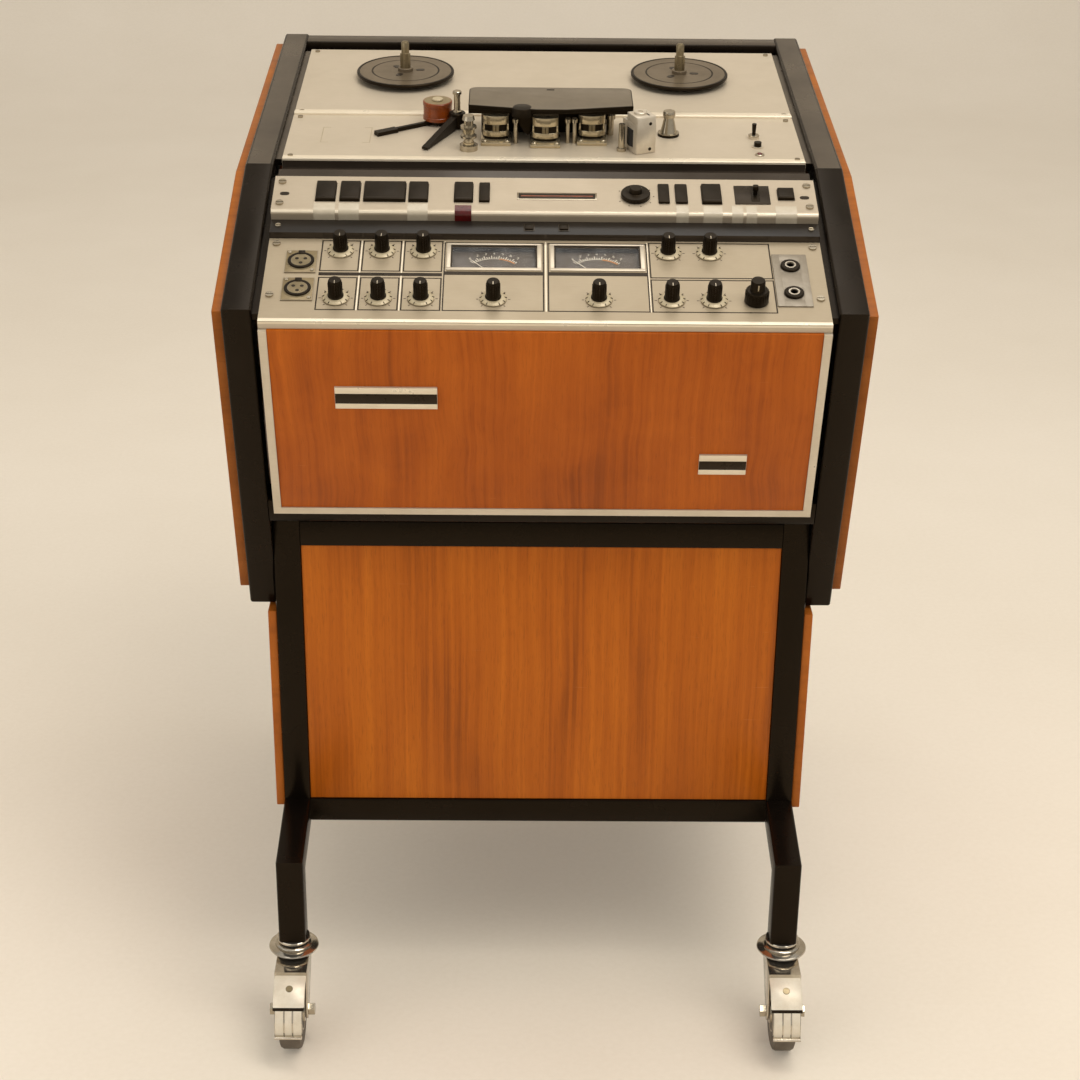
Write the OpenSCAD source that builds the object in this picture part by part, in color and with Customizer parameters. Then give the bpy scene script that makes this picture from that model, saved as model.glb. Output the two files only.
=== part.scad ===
// Reel-to-reel tape recorder in a tube-framed console on a wheeled stand.
// X runs across, Y from front to back, Z up from the floor. Millimetres and degrees.

/* [Console frame] */
// Side of the square tube
tube = 25.4; // [22:0.2:28]
// Wall of the square tube
tube_wall = 1.6; // [1:0.1:2.5]
// Width of the rack panels
panel_w = 482.6; // [476:0.2:520]
// Gap between a panel and the side frame
panel_gap = 6; // [4:0.1:12]
// Height of the shoulder, where the slope meets the front legs
shoulder_h = 732; // [700:1:780]
// Length of the deck rail
rail_len = 392; // [380:1:430]
// Tilt of the deck rail
deck_tilt = 4.7; // [2:0.1:8]
// Length of the sloping control rail
slope_len = 222; // [218:1:240]
// Tilt of the sloping control rail
slope_tilt = 17.3; // [12:0.1:22]
// Length of the front leg of the side frame
leg_len = 337; // [320:1:360]
// Lean of the front leg
leg_lean = 16.6; // [12:0.1:18]

/* [Wood and sheet] */
// Thickness of the side panels
side_panel_t = 9; // [6:0.5:14]
// How far a side panel's edge lies inside the outline of its frame
side_panel_inset = 8; // [2:0.5:12]
// Thickness of the front panel
front_panel_t = 10; // [8:0.5:14]
// Height of the front panel with its trim
front_panel_h = 203; // [190:1:206]
// Width of the silver trim
trim_w = 7; // [4:0.5:10]
// Thickness of the stand's wood panels
stand_panel_t = 8; // [5:0.5:10]
// Thickness of the sheet metal
sheet_t = 2; // [1.5:0.1:3]

/* [Deck] */
// Depth of the deck plates below the rails
deck_sink = 3; // [1:0.2:5]
// Distance between the reel centres
reel_pitch = 277; // [270:1:300]
// Distance from the bend to the reel centres
reel_y = 258; // [250:1:270]
// Diameter of a reel table
table_d = 98; // [90:1:110]
// Height of a spindle above its table
spindle_h = 30; // [25:1:45]
// Diameter of a spindle's round core
spindle_d = 7.9; // [7:0.1:8.5]
// Diameter of the roller
roller_d = 28; // [22:1:30]
// Diameter of the capstan shaft
capstan_d = 6; // [5:0.2:7]
// Diameter of the pinch roller
pinch_d = 17; // [14:0.5:17]
// Width of the head cover
cover_w = 154; // [150:1:165]
// Width of a tape head
head_w = 25; // [20:0.5:27]

/* [Panels and controls] */
// Height of the keyboard above the sloping rail
key_raise = 9; // [7:0.5:12]
// Depth of the preamplifier panel below the sloping rail
preamp_sink = 6; // [4:0.5:8]
// Height of a key above its panel
key_proud = 3; // [2:0.5:5]
// Travel of a key
key_travel = 2.5; // [1:0.5:3]
// Diameter of a knob at its base
knob_d = 13; // [10:0.5:16]
// Height of a knob
knob_h = 19; // [14:0.5:24]
// Diameter of a knob's skirt
skirt_d = 23; // [18:0.5:24]
// Diameter of the control shafts
shaft_d = 6; // [5:0.2:6.4]
// Distance between knob columns
knob_pitch = 36; // [33:0.5:37]
// Width of a meter window
meter_w = 75; // [65:1:78]
// Bore of a jack socket
jack_d = 6.4; // [6.3:0.1:6.6]

/* [Stand] */
// Distance from the shoulder back to the front of the stand
stand_front = 82; // [76:1:88]
// Depth of the stand over its uprights
stand_depth = 400; // [360:1:410]
// Gap between the front bar of the console and the top of the stand
stand_gap = 6.1; // [3:0.1:12]
// Height of the top of the base rails
base_h = 201.8; // [190:0.2:230]
// Reach of the arms beyond the uprights
arm_reach = 94; // [80:1:100]
// Fall of an arm over its reach
arm_drop = 12; // [6:1:20]

/* [Castors] */
// Height of a castor
castor_h = 100; // [98:1:115]
// Diameter of a wheel
wheel_d = 75; // [65:1:78]
// Width of a wheel's tread
wheel_w = 21; // [18:0.5:26]
// Distance from the swivel to the axle
castor_trail = 33; // [28:1:40]

/* [Fits] */
// Radial gap of a running fit
run_gap = 0.05; // [0.02:0.01:0.1]
// Clearance between pieces that pass each other
clear = 0.4; // [0.3:0.1:0.6]

/* [Hidden] */
$fn = 48;

// Hairline seam between two welded tubes
seam = 0.02;

// Share of the full rack width, which keeps fittings in their place along the panels
rack_w = 482.6;
wide = panel_w / rack_w;

// Widths
console_in = panel_w + 2 * panel_gap;
console_out = console_in + 2 * tube;
stand_w = console_in;

// Castor: wheel, fork and brake shield
wheel_r = wheel_d / 2;
wheel_over = 5;
crown_t = 4;
crown_top = wheel_d + wheel_over + crown_t;
shield_t = 2.5;
shield_r = wheel_r + wheel_over + 0.5;
pedal_l = 5;
hub_w = wheel_w + 4;
fork_in = hub_w + 2 * clear;
cheek_t = 2.5;
axle_r = 4;
nut_r = 6;
nut_l = 6;
stem_r = 5.5;
stem_l = 28;
disc_r = 24;
disc_t = 5;
race_r = 15;
cheek_r = 9;

// Side view, as [Y, Z], with the object's middle at Y = 0
leg_axis = stand_front - arm_reach + tube / 2;
front_reach = leg_axis - castor_trail - shield_r - pedal_l;
frame_depth = slope_len * cos(slope_tilt) + rail_len * cos(deck_tilt);
shoulder_y = -(front_reach + frame_depth) / 2;
shoulder = [shoulder_y, shoulder_h];
bend = shoulder + slope_len * [cos(slope_tilt), sin(slope_tilt)];
rear_top = bend + rail_len * [cos(deck_tilt), sin(deck_tilt)];
leg_foot = shoulder + leg_len * [sin(leg_lean), -cos(leg_lean)];
rear_foot = [rear_top[0], leg_foot[1]];
frame_loop = [rear_top, bend, shoulder, leg_foot, rear_foot];

// Front bar of the console, measured down the leg
panel_drop = 14;
bar_drop = panel_drop + front_panel_h - 6;

// Stand
stand_top = shoulder_h - (bar_drop + tube) * cos(leg_lean) - stand_gap;
stand_y = shoulder_y + stand_front;
stand_back = stand_y + stand_depth;
stand_mid = (stand_y + stand_back) / 2;
arm_start = [stand_y, base_h];
arm_knee = [stand_y - arm_reach, base_h - arm_drop];
leg_end = [arm_knee[0], castor_h];
castor_y = [arm_knee[0] + tube / 2, 2 * stand_mid - arm_knee[0] - tube / 2];
castor_x = stand_w / 2 - tube / 2;
panel_back_off = 2;

// Deck plates, measured from the bend along the deck
head_plate_y = [20.5, 143.5];
deck_plate_y = [144, 348.5];
step_y = [-3, 23];
lip_h = 8;
ledge_w = 22;
ledge_t = 6;
ledge_end = 5;

// Sloping panels, measured from the shoulder along the slope
lip_face = 8;
preamp_y = [-lip_face, 112.5];
strip_y = [113, 132.5];
keyboard_y = [133, 188];
fascia_y = [189, 216];
lip_r = 4;
lip_foot = preamp_sink - panel_drop + 0.3 + lip_face * tan(abs(slope_tilt - leg_lean));

// Places on the deck
reel_x = reel_pitch / 2;
roller_pos = [-101.3, 122];
roller_z = [4.4, 23];
head_pos = [[-45.1, 76], [1.2, 71], [45, 79]];
head_d = 18;
head_z = [4, 26];
head_foot = 28;
head_foot_y = [-17, 13];
head_notch = [7, 12, 2];
guide_pos = [-70.2, 50];
post_pos = [[-26.6, 68], [22.3, 70], [28.6, 70]];
cap_post_pos = [62.9, 94];
cone_pos = [118.5, 94];
capstan_pos = [72.2, 50];
block_pos = [85.4, 38];
block_turn = 25;
block = [20, 28];
block_z = [0.3, 27.5];
pinch_at = [7, 13];
pinch_z = [5.5, 21.5];
pivot_at = [15, 24];
pivot_d = 5;
pinch_pin_d = 4;
toggle_pos = [199 * wide, 87];
button_pos = [200.6 * wide, 62.5];
button_d = 7;

// Reel drive
table_z = [3, 8];
spindle_plain = 12;
spindle_step = 0.5;
rib_proud = 1.6;
rib_w = 2.2;
collar_d = 15;
collar_h = 4;
table_boss_d = 40;
drive_d = 12;
drive_l = 40;
motor_d = 92;
motor_h = 85;
flywheel_d = 76;
flywheel_z = [-25, -11];
cap_motor_d = 72;
cap_motor_z = [-72, -28];
flange_d = 92;
pillar_d = 6;
pillar_at = 42.5;

// Head cover
cover_x = 6.3;
cover_y = [58, 70, 122];
cover_flat = 14;
cover_z = [28, 36.5];
cover_round = 8;
cover_t = 2;
hinge_x = 55;
hinge_r = 3;
hinge_z = 31;
hinge_y = cover_y[2] + hinge_r + 0.5;
hinge_pin_d = 3;
knuckle_l = 10;

// Keys as [middle X, middle Y, width, height]
key_row = 163;
key_h = 29;
key_places = [
    [-194.4 * wide, key_row, 17.6 * wide, key_h],
    [-172.9 * wide, key_row, 17.6 * wide, key_h],
    [-142.2 * wide, key_row, 37 * wide, key_h],
    [-112.3 * wide, key_row, 17 * wide, key_h],
    [-72.2 * wide, key_row, 16.5 * wide, key_h],
    [148.2 * wide, key_row, 17.4 * wide, key_h],
    [214.6 * wide, key_row + 1, 14.6 * wide, 16.5]
];
stem_w = 6;
bed_z = [-18, -15];
selector_pos = [80.5 * wide, 160];
selector_d = 26;
lever_pos = [187.2 * wide, 164];
lever_slot = [7, 20];

// Knobs on the preamplifier panel
knob_rows = [25.5, 94.5];
left_knob_x = -177.8 * wide;
right_knob_x = 107.2 * wide;
knob_step = knob_pitch * wide;
meter_x = [-44.4 * wide, 45.4 * wide];
bush_d = 10;
bush_l = 8;

// Meters, measured along the slope
meter_span = meter_w * wide;
meter_y = [70, 104];
needle_y = 67;
needle_l = 33;
needle_rest = 42;
meter_bezel = 4.5;
meter_cavity = 5;
meter_depth = 26;
needle_pin_d = 1.6;

// Sockets
socket_x = 211 * wide;
socket_y = [37, 77];
socket_plate = [27, 32];
socket_body_d = 17;
jack_x = 212 * wide;
jack_y = [35.5, 74.5];
jack_bush_d = 10;
jack_depth = 30;
jack_plate = [15, 18];

// Name plates on the front panel, as [left edge, height above the foot of the trim, width, height]
name_plates = [[-180 * wide, 121.5, 88 * wide, 23], [137 * wide, 50, 42 * wide, 22]];

// Chassis fittings, measured from the middle of the stand
chassis_over = 40;
trafo_at = [-150 * wide, 90];
trafo_end = [50, 40, 14];
trafo_core = [38, 46, 48];
can_x = [-70 * wide, -25 * wide];
can_y = 110;
can_d = 36;
can_h = 70;
card_x = [40 * wide, 75 * wide, 110 * wide, 145 * wide];
card_y = 20;
card = [1.6, 150, 95];

// Rear cover: inset from the frame, mains inlet and vent slots
cover_in = 10;
cover_clear = 4;
inlet_x = -150 * wide;
inlet_up = 40;
inlet = [34, 14, 26];
inlet_hole = [24, 11, 16];
vent = [240 * wide, 4];
vent_up = 190;
vent_step = 14;

// Tension arm, measured from its hub
arm_t = 3.6;
arm_hub_d = 18;
arm_post = [19, -12];
arm_tip = [-9.7, -76];
arm_post_d = [10, 5];
arm_post_h = [14, 35];
arm_wedge = [6, 2, 13.4];
arm_rod = [48, 3.6];
arm_paddle = [46, 22, 8];

// Unit normal on the left of the line from a to b
function left_normal(a, b) = [a[1] - b[1], b[0] - a[0]] / norm(b - a);
// Corner b of the path a, b, c moved d to the left of both lines
function inset_corner(a, b, c, d) =
    let (m = left_normal(a, b), n = left_normal(b, c))
    b + d * (m + n) / (1 + m * n);
// Closed outline moved inwards by d
function inset_loop(p, d) =
    let (n = len(p))
    [for (i = [0 : n - 1]) inset_corner(p[(i + n - 1) % n], p[i], p[(i + 1) % n], d)];

// Extrudes a side view across X, about the middle
module across(w) {
    translate([-w / 2, 0, 0])
        rotate([90, 0, 90])
            linear_extrude(w)
                children();
}

// Box from one corner to the opposite one
module box(a, b) {
    translate(a)
        cube(b - a);
}

// Cylinder along X, about the middle
module rod_x(r, w) {
    translate([-w / 2, 0, 0])
        rotate([0, 90, 0])
            cylinder(r = r, h = w);
}

// Square tube along X, about the middle
module bar_x(w) {
    difference() {
        box([-w / 2 + seam, 0, 0], [w / 2 - seam, tube, tube]);
        box([-w / 2 - 1, tube_wall, tube_wall], [w / 2 + 1, tube - tube_wall, tube - tube_wall]);
    }
}

// Local frames: deck top, slope, keyboard top, preamplifier top and front leg
module on_deck() {
    translate([0, bend[0], bend[1]])
        rotate([deck_tilt, 0, 0])
            translate([0, 0, -deck_sink])
                children();
}

module on_slope(rise = 0) {
    translate([0, shoulder[0], shoulder[1]])
        rotate([slope_tilt, 0, 0])
            translate([0, 0, rise])
                children();
}

module on_keys() {
    on_slope(key_raise)
        children();
}

module on_preamp() {
    on_slope(-preamp_sink)
        children();
}

module on_leg() {
    translate([0, shoulder[0], shoulder[1]])
        rotate([leg_lean, 0, 0])
            children();
}

module both_sides() {
    for (side = [-1, 1])
        scale([side, 1, 1])
            children();
}

// One mitred length of the side frame's loop
module loop_tube(i) {
    j = (i + 1) % len(frame_loop);
    along = (frame_loop[j] - frame_loop[i]) / norm(frame_loop[j] - frame_loop[i]);
    inner = inset_loop(frame_loop, tube);
    hollow_out = inset_loop(frame_loop, tube_wall);
    hollow_in = inset_loop(frame_loop, tube - tube_wall);
    difference() {
        across(tube)
            polygon([frame_loop[i] + seam * along, frame_loop[j] - seam * along, inner[j] - seam * along,
                inner[i] + seam * along]);
        across(tube - 2 * tube_wall)
            polygon([hollow_out[i] - along, hollow_out[j] + along, hollow_in[j] + along, hollow_in[i] - along]);
    }
}

// Two bent side frames, their cross bars and the ledges that carry the panels
module console_frame() {
    color("#191715") {
        for (side = [-1, 1])
            translate([side * (console_in + tube) / 2, 0, 0])
                for (i = [0 : len(frame_loop) - 1])
                    loop_tube(i);
        on_deck()
            translate([0, rail_len - tube * (1 + tan(deck_tilt)), deck_sink - tube])
                bar_x(console_in);
        on_leg()
            translate([0, 0, -bar_drop - tube])
                bar_x(console_in);
        translate([0, rear_foot[0] - tube, rear_foot[1]])
            bar_x(console_in);
        for (side = [-1, 1])
            translate([side * ((console_in - ledge_w) / 2 - seam), 0, 0]) {
                on_deck()
                    box([-ledge_w / 2, head_plate_y[0] + ledge_end, -sheet_t - ledge_t],
                        [ledge_w / 2, deck_plate_y[1], -sheet_t]);
                on_preamp()
                    box([-ledge_w / 2, ledge_end, -sheet_t - ledge_t], [ledge_w / 2, fascia_y[1] - ledge_end, -sheet_t]);
            }
    }
}

// Wood panels on the outside of the side frames
module side_panels() {
    outline = inset_loop(frame_loop, side_panel_inset);
    lower = leg_foot[1] + 15;
    color("#a4561f")
        for (side = [-1, 1])
            translate([side * (console_out + side_panel_t) / 2, 0, 0])
                difference() {
                    across(side_panel_t)
                        polygon(outline);
                    box([-side_panel_t, leg_foot[0] - tube, leg_foot[1] - 1],
                        [side_panel_t, rear_foot[0] + tube, lower]);
                }
}

// Wood panel under the preamplifier
module front_panel() {
    color("#a9531a")
        on_leg()
            box([-panel_w / 2 + trim_w, -front_panel_t, -panel_drop - front_panel_h + trim_w],
                [panel_w / 2 - trim_w, 0, -panel_drop]);
}

// Silver trim at the sides and foot of the front panel, and two bare name plates
module front_trim() {
    low = -panel_drop - front_panel_h;
    color("#cfc8ba")
        on_leg() {
            both_sides()
                box([panel_w / 2 - trim_w, -front_panel_t - 1, low], [panel_w / 2, 0, -panel_drop]);
            box([-panel_w / 2 + trim_w + seam, -front_panel_t - 1, low],
                [panel_w / 2 - trim_w - seam, 0, low + trim_w]);
            for (n = name_plates)
                translate([n[0], -front_panel_t - 1.6, low + n[1]])
                    cube([n[2], 1.6, n[3]]);
        }
}

// Upper deck plate and head plate, each with a folded front edge
module deck_plates() {
    color("#c9c4b8")
        on_deck() {
            difference() {
                union() {
                    box([-panel_w / 2, deck_plate_y[0], -sheet_t], [panel_w / 2, deck_plate_y[1], 0]);
                    box([-console_in / 2 + ledge_w + clear, deck_plate_y[0], -lip_h],
                        [console_in / 2 - ledge_w - clear, deck_plate_y[0] + sheet_t, 0]);
                }
                both_sides()
                    translate([reel_x, reel_y, -sheet_t - 1])
                        cylinder(d = drive_d + 2 * clear, h = sheet_t + 2);
            }
            difference() {
                union() {
                    box([-panel_w / 2, head_plate_y[0], -sheet_t], [panel_w / 2, head_plate_y[1], 0]);
                    box([-panel_w / 2, head_plate_y[0], -lip_h], [panel_w / 2, head_plate_y[0] + sheet_t, 0]);
                    translate([toggle_pos[0], toggle_pos[1], 0])
                        cylinder(d = 10, h = 2.5);
                    translate([button_pos[0], button_pos[1], 0])
                        cylinder(d = button_d + 4, h = 1);
                }
                translate([capstan_pos[0], capstan_pos[1], -sheet_t - 1])
                    cylinder(d = capstan_d + 2 * clear, h = sheet_t + 2);
                translate([toggle_pos[0], toggle_pos[1], -sheet_t - 1])
                    cylinder(d = 6.6, h = sheet_t + 5);
                translate([button_pos[0], button_pos[1], -sheet_t - 1])
                    cylinder(d = button_d + 2 * run_gap, h = sheet_t + 3);
            }
        }
}

// Dark strip above the keyboard, the step that closes the gap to the deck, and black strip below the keyboard
module fascia_strips() {
    color("#3a352f") {
        on_slope() {
            box([-panel_w / 2, fascia_y[0], -preamp_sink - sheet_t], [panel_w / 2, fascia_y[1], -2]);
            box([-panel_w / 2, strip_y[0], -preamp_sink - sheet_t], [panel_w / 2, strip_y[1], 0]);
        }
        on_deck()
            box([-panel_w / 2, step_y[0], -lip_h - sheet_t], [panel_w / 2, step_y[1], -lip_h]);
    }
}

// Raised keyboard tray with its rounded front lip, key holes and key bed
module keyboard_panel() {
    foot = -key_raise - preamp_sink - sheet_t;
    half = panel_w / 2;
    color("#cbc6ba")
        on_keys()
            difference() {
                union() {
                    box([-half, keyboard_y[0] + lip_r, -sheet_t], [half, keyboard_y[1], 0]);
                    box([-half, keyboard_y[0], foot], [half, keyboard_y[0] + sheet_t, -lip_r]);
                    box([-half, keyboard_y[1] - sheet_t, foot], [half, keyboard_y[1], 0]);
                    translate([0, keyboard_y[0] + lip_r, -lip_r])
                        rod_x(lip_r, panel_w);
                    both_sides()
                        box([half - sheet_t, keyboard_y[0], foot], [half, keyboard_y[1], -lip_r]);
                    box([-half, keyboard_y[0], foot], [half, keyboard_y[1], foot + sheet_t]);
                }
                for (k = key_places)
                    translate([k[0], k[1], -sheet_t - lip_r]) {
                        translate([-k[2] / 2 - clear, -k[3] / 2 - clear, 0])
                            cube([k[2] + 2 * clear, k[3] + 2 * clear, sheet_t + lip_r + 1]);
                        translate([-stem_w / 2 - clear, -stem_w / 2 - clear, foot])
                            cube([stem_w + 2 * clear, stem_w + 2 * clear, -foot]);
                    }
                translate([selector_pos[0], selector_pos[1], foot - 1])
                    cylinder(d = shaft_d + 2 * run_gap, h = -foot + 2);
                translate([lever_pos[0], lever_pos[1], -sheet_t / 2])
                    cube([lever_slot[0], lever_slot[1], sheet_t + 2], center = true);
            }
}

// Places of the knobs on the preamplifier panel
function knob_place(i) =
    i < 6 ? [left_knob_x + (i % 3) * knob_step, knob_rows[i < 3 ? 1 : 0]]
    : i < 8 ? [meter_x[i - 6], knob_rows[0]]
    : i < 10 ? [right_knob_x + (i - 8) * knob_step, knob_rows[1]]
    : [right_knob_x + (i - 10) * knob_step, knob_rows[0]];
knob_count = 13;

// Preamplifier panel with its folded front, shaft bushes, meter windows and socket holes
module preamp_panel() {
    color("#c8c1b2") {
        difference() {
            union() {
                on_preamp() {
                    box([-panel_w / 2, preamp_y[0], -sheet_t], [panel_w / 2, preamp_y[1], 0]);
                    box([-panel_w / 2, preamp_y[0], lip_foot], [panel_w / 2, preamp_y[0] + sheet_t, 0]);
                    for (i = [0 : knob_count - 1])
                        translate([knob_place(i)[0], knob_place(i)[1], -sheet_t - bush_l])
                            cylinder(d = bush_d, h = bush_l + sheet_t / 2);
                }
            }
            on_preamp() {
                for (i = [0 : knob_count - 1])
                    translate([knob_place(i)[0], knob_place(i)[1], -sheet_t - bush_l - 1])
                        cylinder(d = shaft_d + 2 * run_gap, h = bush_l + sheet_t + 2);
                for (x = meter_x)
                    box([x - meter_span / 2, meter_y[0], -sheet_t - 1], [x + meter_span / 2, meter_y[1], 1]);
                for (y = socket_y)
                    translate([-socket_x, y, -sheet_t - 1])
                        cylinder(d = socket_body_d + 2 * clear, h = sheet_t + 2);
                for (y = jack_y)
                    translate([jack_x, y, -sheet_t - 1])
                        cylinder(d = jack_bush_d + 2 * clear, h = sheet_t + 2);
            }
        }
    }
}

// Chassis sheet on the stand, with the mains transformer, capacitors and amplifier cards
module chassis() {
    top = stand_top + sheet_t;
    color("#8d8f8c") {
        box([-console_in / 2 + 2, stand_y + 2, stand_top], [console_in / 2 - 2, stand_back + chassis_over, top]);
        translate([trafo_at[0], stand_mid + trafo_at[1], top + seam]) {
            for (z = [0, trafo_end[2] + trafo_core[2]])
                translate([-trafo_end[0], -trafo_end[1], z])
                    cube([2 * trafo_end[0], 2 * trafo_end[1], trafo_end[2]]);
            translate([-trafo_core[0], -trafo_core[1], trafo_end[2]])
                cube([2 * trafo_core[0], 2 * trafo_core[1], trafo_core[2]]);
        }
        for (x = can_x)
            translate([x, stand_mid + can_y, top + seam])
                cylinder(d = can_d, h = can_h);
        for (x = card_x)
            translate([x, stand_mid + card_y, top + seam])
                cube(card);
    }
}

// Sheet cover on the back with vent slots and a mains inlet
module rear_cover() {
    cover_back = rear_foot[0] - cover_in;
    low = rear_foot[1] + tube;
    high = rear_top[1] - tube - cover_clear;
    wall = (inlet[0] - inlet_hole[0]) / 2;
    color("#2b2927")
        difference() {
            union() {
                box([-console_in / 2, cover_back - sheet_t, low], [console_in / 2, cover_back, high]);
                translate([inlet_x, cover_back - inlet[1], low + inlet_up])
                    cube(inlet);
            }
            translate([inlet_x + wall, cover_back - inlet_hole[1], low + inlet_up + wall])
                cube([inlet_hole[0], inlet_hole[1] + 1, inlet_hole[2]]);
            for (row = [0 : 9])
                translate([-vent[0] / 2, cover_back - sheet_t - 1, low + vent_up + vent_step * row])
                    cube([vent[0], sheet_t + 2, vent[1]]);
        }
}

// One arm and leg of the stand, from the base rail to the castor
module arm_and_leg() {
    knee_in = inset_corner(arm_start, arm_knee, leg_end, tube);
    slope_cut = tube * norm(arm_start - arm_knee) / arm_reach;
    wall_cut = tube_wall * slope_cut / tube;
    knee_a = inset_corner(arm_start, arm_knee, leg_end, tube_wall);
    knee_b = inset_corner(arm_start, arm_knee, leg_end, tube - tube_wall);
    arm_dir = (arm_start - arm_knee) / norm(arm_start - arm_knee);
    down = [0, -1];
    plug_w = tube - 2 * tube_wall - 2 * seam;
    difference() {
        across(tube)
            polygon([arm_start - seam * arm_dir, arm_knee + seam * arm_dir, knee_in + seam * arm_dir,
                arm_start + slope_cut * down - seam * arm_dir]);
        across(tube - 2 * tube_wall)
            polygon([arm_start + wall_cut * down + arm_dir, knee_a - arm_dir, knee_b - arm_dir,
                arm_start + (slope_cut - wall_cut) * down + arm_dir]);
    }
    difference() {
        across(tube)
            polygon([arm_knee + seam * down, leg_end, leg_end + [tube, 0], knee_in + seam * down]);
        across(tube - 2 * tube_wall)
            polygon([knee_a - down, leg_end + [tube_wall, -1], leg_end + [tube - tube_wall, -1], knee_b - down]);
    }
    translate([0, leg_end[0] + tube / 2, castor_h])
        difference() {
            translate([0, 0, stem_l / 2 + 1])
                cube([plug_w, plug_w, stem_l + 2], center = true);
            translate([0, 0, -1])
                cylinder(r = stem_r + run_gap, h = stem_l + 2);
        }
}

// Square tube upright
module bar_z(h) {
    difference() {
        box([-tube / 2, 0, seam], [tube / 2, tube, h]);
        box([-tube / 2 + tube_wall, tube_wall, -1], [tube / 2 - tube_wall, tube - tube_wall, h + 1]);
    }
}

// Square tube from front to back
module bar_y(l) {
    difference() {
        box([-tube / 2, 0, 0], [tube / 2, l, tube]);
        box([-tube / 2 + tube_wall, -1, tube_wall], [tube / 2 - tube_wall, l + 1, tube - tube_wall]);
    }
}

// Stand: uprights, base rails, cross bars, arms, legs and the plugs that hold the castors
module stand_frame() {
    between = stand_w - 2 * tube;
    color("#191715") {
        for (side = [-1, 1])
            translate([side * castor_x, 0, 0]) {
                translate([0, stand_y, base_h - tube])
                    bar_y(stand_depth);
                for (y = [stand_y, stand_back - tube])
                    translate([0, y, base_h])
                        bar_z(stand_top - base_h);
                arm_and_leg();
                translate([0, 2 * stand_mid, 0])
                    mirror([0, 1, 0])
                        arm_and_leg();
            }
        for (y = [stand_y, stand_back - tube])
            for (z = [base_h - tube, stand_top - tube])
                translate([0, y, z])
                    bar_x(between);
    }
}

// Wood panels of the stand: one in front, one on each side
module stand_panels() {
    between = stand_w - 2 * tube;
    color("#9d4f1c") {
        box([-between / 2, stand_y + panel_back_off, base_h],
            [between / 2, stand_y + panel_back_off + stand_panel_t, stand_top - tube]);
        both_sides()
            box([stand_w / 2, stand_y + 3, base_h - 9], [stand_w / 2 + stand_panel_t, stand_back - 3, leg_foot[1] - 4]);
    }
}

// One screw head with its slot
module screw_head(d) {
    difference() {
        cylinder(d = d, h = 1.6);
        translate([-d, -0.5, 0.8])
            cube([2 * d, 1, 2]);
    }
}

// Screws on the panel ends and the deck corners
module panel_screws() {
    edge = panel_w / 2 - 7;
    color("#8f8a80")
        both_sides() {
            on_preamp()
                for (y = [29, 104])
                    translate([edge, y, 0])
                        screw_head(7);
            on_keys()
                for (y = [keyboard_y[0] + 12, keyboard_y[1] - 10])
                    translate([edge, y, 0])
                        screw_head(7);
            on_slope()
                translate([edge, (strip_y[0] + strip_y[1]) / 2, 0])
                    screw_head(5);
            on_deck()
                for (y = [head_plate_y[0] + 8, head_plate_y[1] - 8, deck_plate_y[0] + 8, deck_plate_y[1] - 8])
                    translate([edge, y, 0])
                        screw_head(5);
        }
}

// Reel motors under the deck and the capstan motor on its pillars
module drive_motors() {
    color("#6f716f")
        on_deck() {
            for (side = [-1, 1])
                translate([side * reel_x, reel_y, -sheet_t])
                    difference() {
                        translate([0, 0, -motor_h])
                            cylinder(d = motor_d, h = motor_h);
                        translate([0, 0, -drive_l])
                            cylinder(d = drive_d + 2 * run_gap, h = drive_l + 1);
                    }
            translate([capstan_pos[0], capstan_pos[1], 0])
                difference() {
                    union() {
                        translate([0, 0, cap_motor_z[0]])
                            cylinder(d = cap_motor_d, h = cap_motor_z[1] - cap_motor_z[0]);
                        translate([0, 0, cap_motor_z[1] - 4])
                            cylinder(d = flange_d, h = 4);
                        for (a = [90, 210, 330])
                            rotate([0, 0, a])
                                translate([pillar_at, 0, cap_motor_z[1] - 1])
                                    cylinder(d = pillar_d, h = -sheet_t - cap_motor_z[1] + 1);
                    }
                    translate([0, 0, cap_motor_z[0] + 4])
                        cylinder(d = capstan_d + 2 * run_gap, h = 80);
                }
        }
}

// Three tape heads, each a round-fronted can on its foot
module tape_heads() {
    color("#b9b4a8")
        on_deck()
            for (p = head_pos)
                translate([p[0], p[1], 0]) {
                    difference() {
                        translate([-head_foot / 2, head_foot_y[0], 0])
                            cube([head_foot, head_foot_y[1] - head_foot_y[0], head_z[0]]);
                        translate([-head_foot / 2 - 1, head_foot_y[0] - 1, head_notch[2]])
                            cube([head_notch[0], head_notch[1], head_z[0]]);
                    }
                    intersection() {
                        translate([-head_w / 2, -head_d / 2, head_z[0]])
                            cube([head_w, head_d, head_z[1] - head_z[0]]);
                        translate([0, 6, head_z[0]])
                            cylinder(r = head_w * 0.62, h = head_z[1] - head_z[0]);
                    }
                }
}

// Guide with two flanges
module flanged_guide() {
    cylinder(d = 17, h = 5);
    cylinder(d = 9, h = 30);
    translate([0, 0, 12])
        cylinder(d = 15, h = 2);
    translate([0, 0, 21])
        cylinder(d = 15, h = 2);
    translate([0, 0, 29])
        cylinder(d1 = 12, d2 = 10, h = 4);
}

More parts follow.
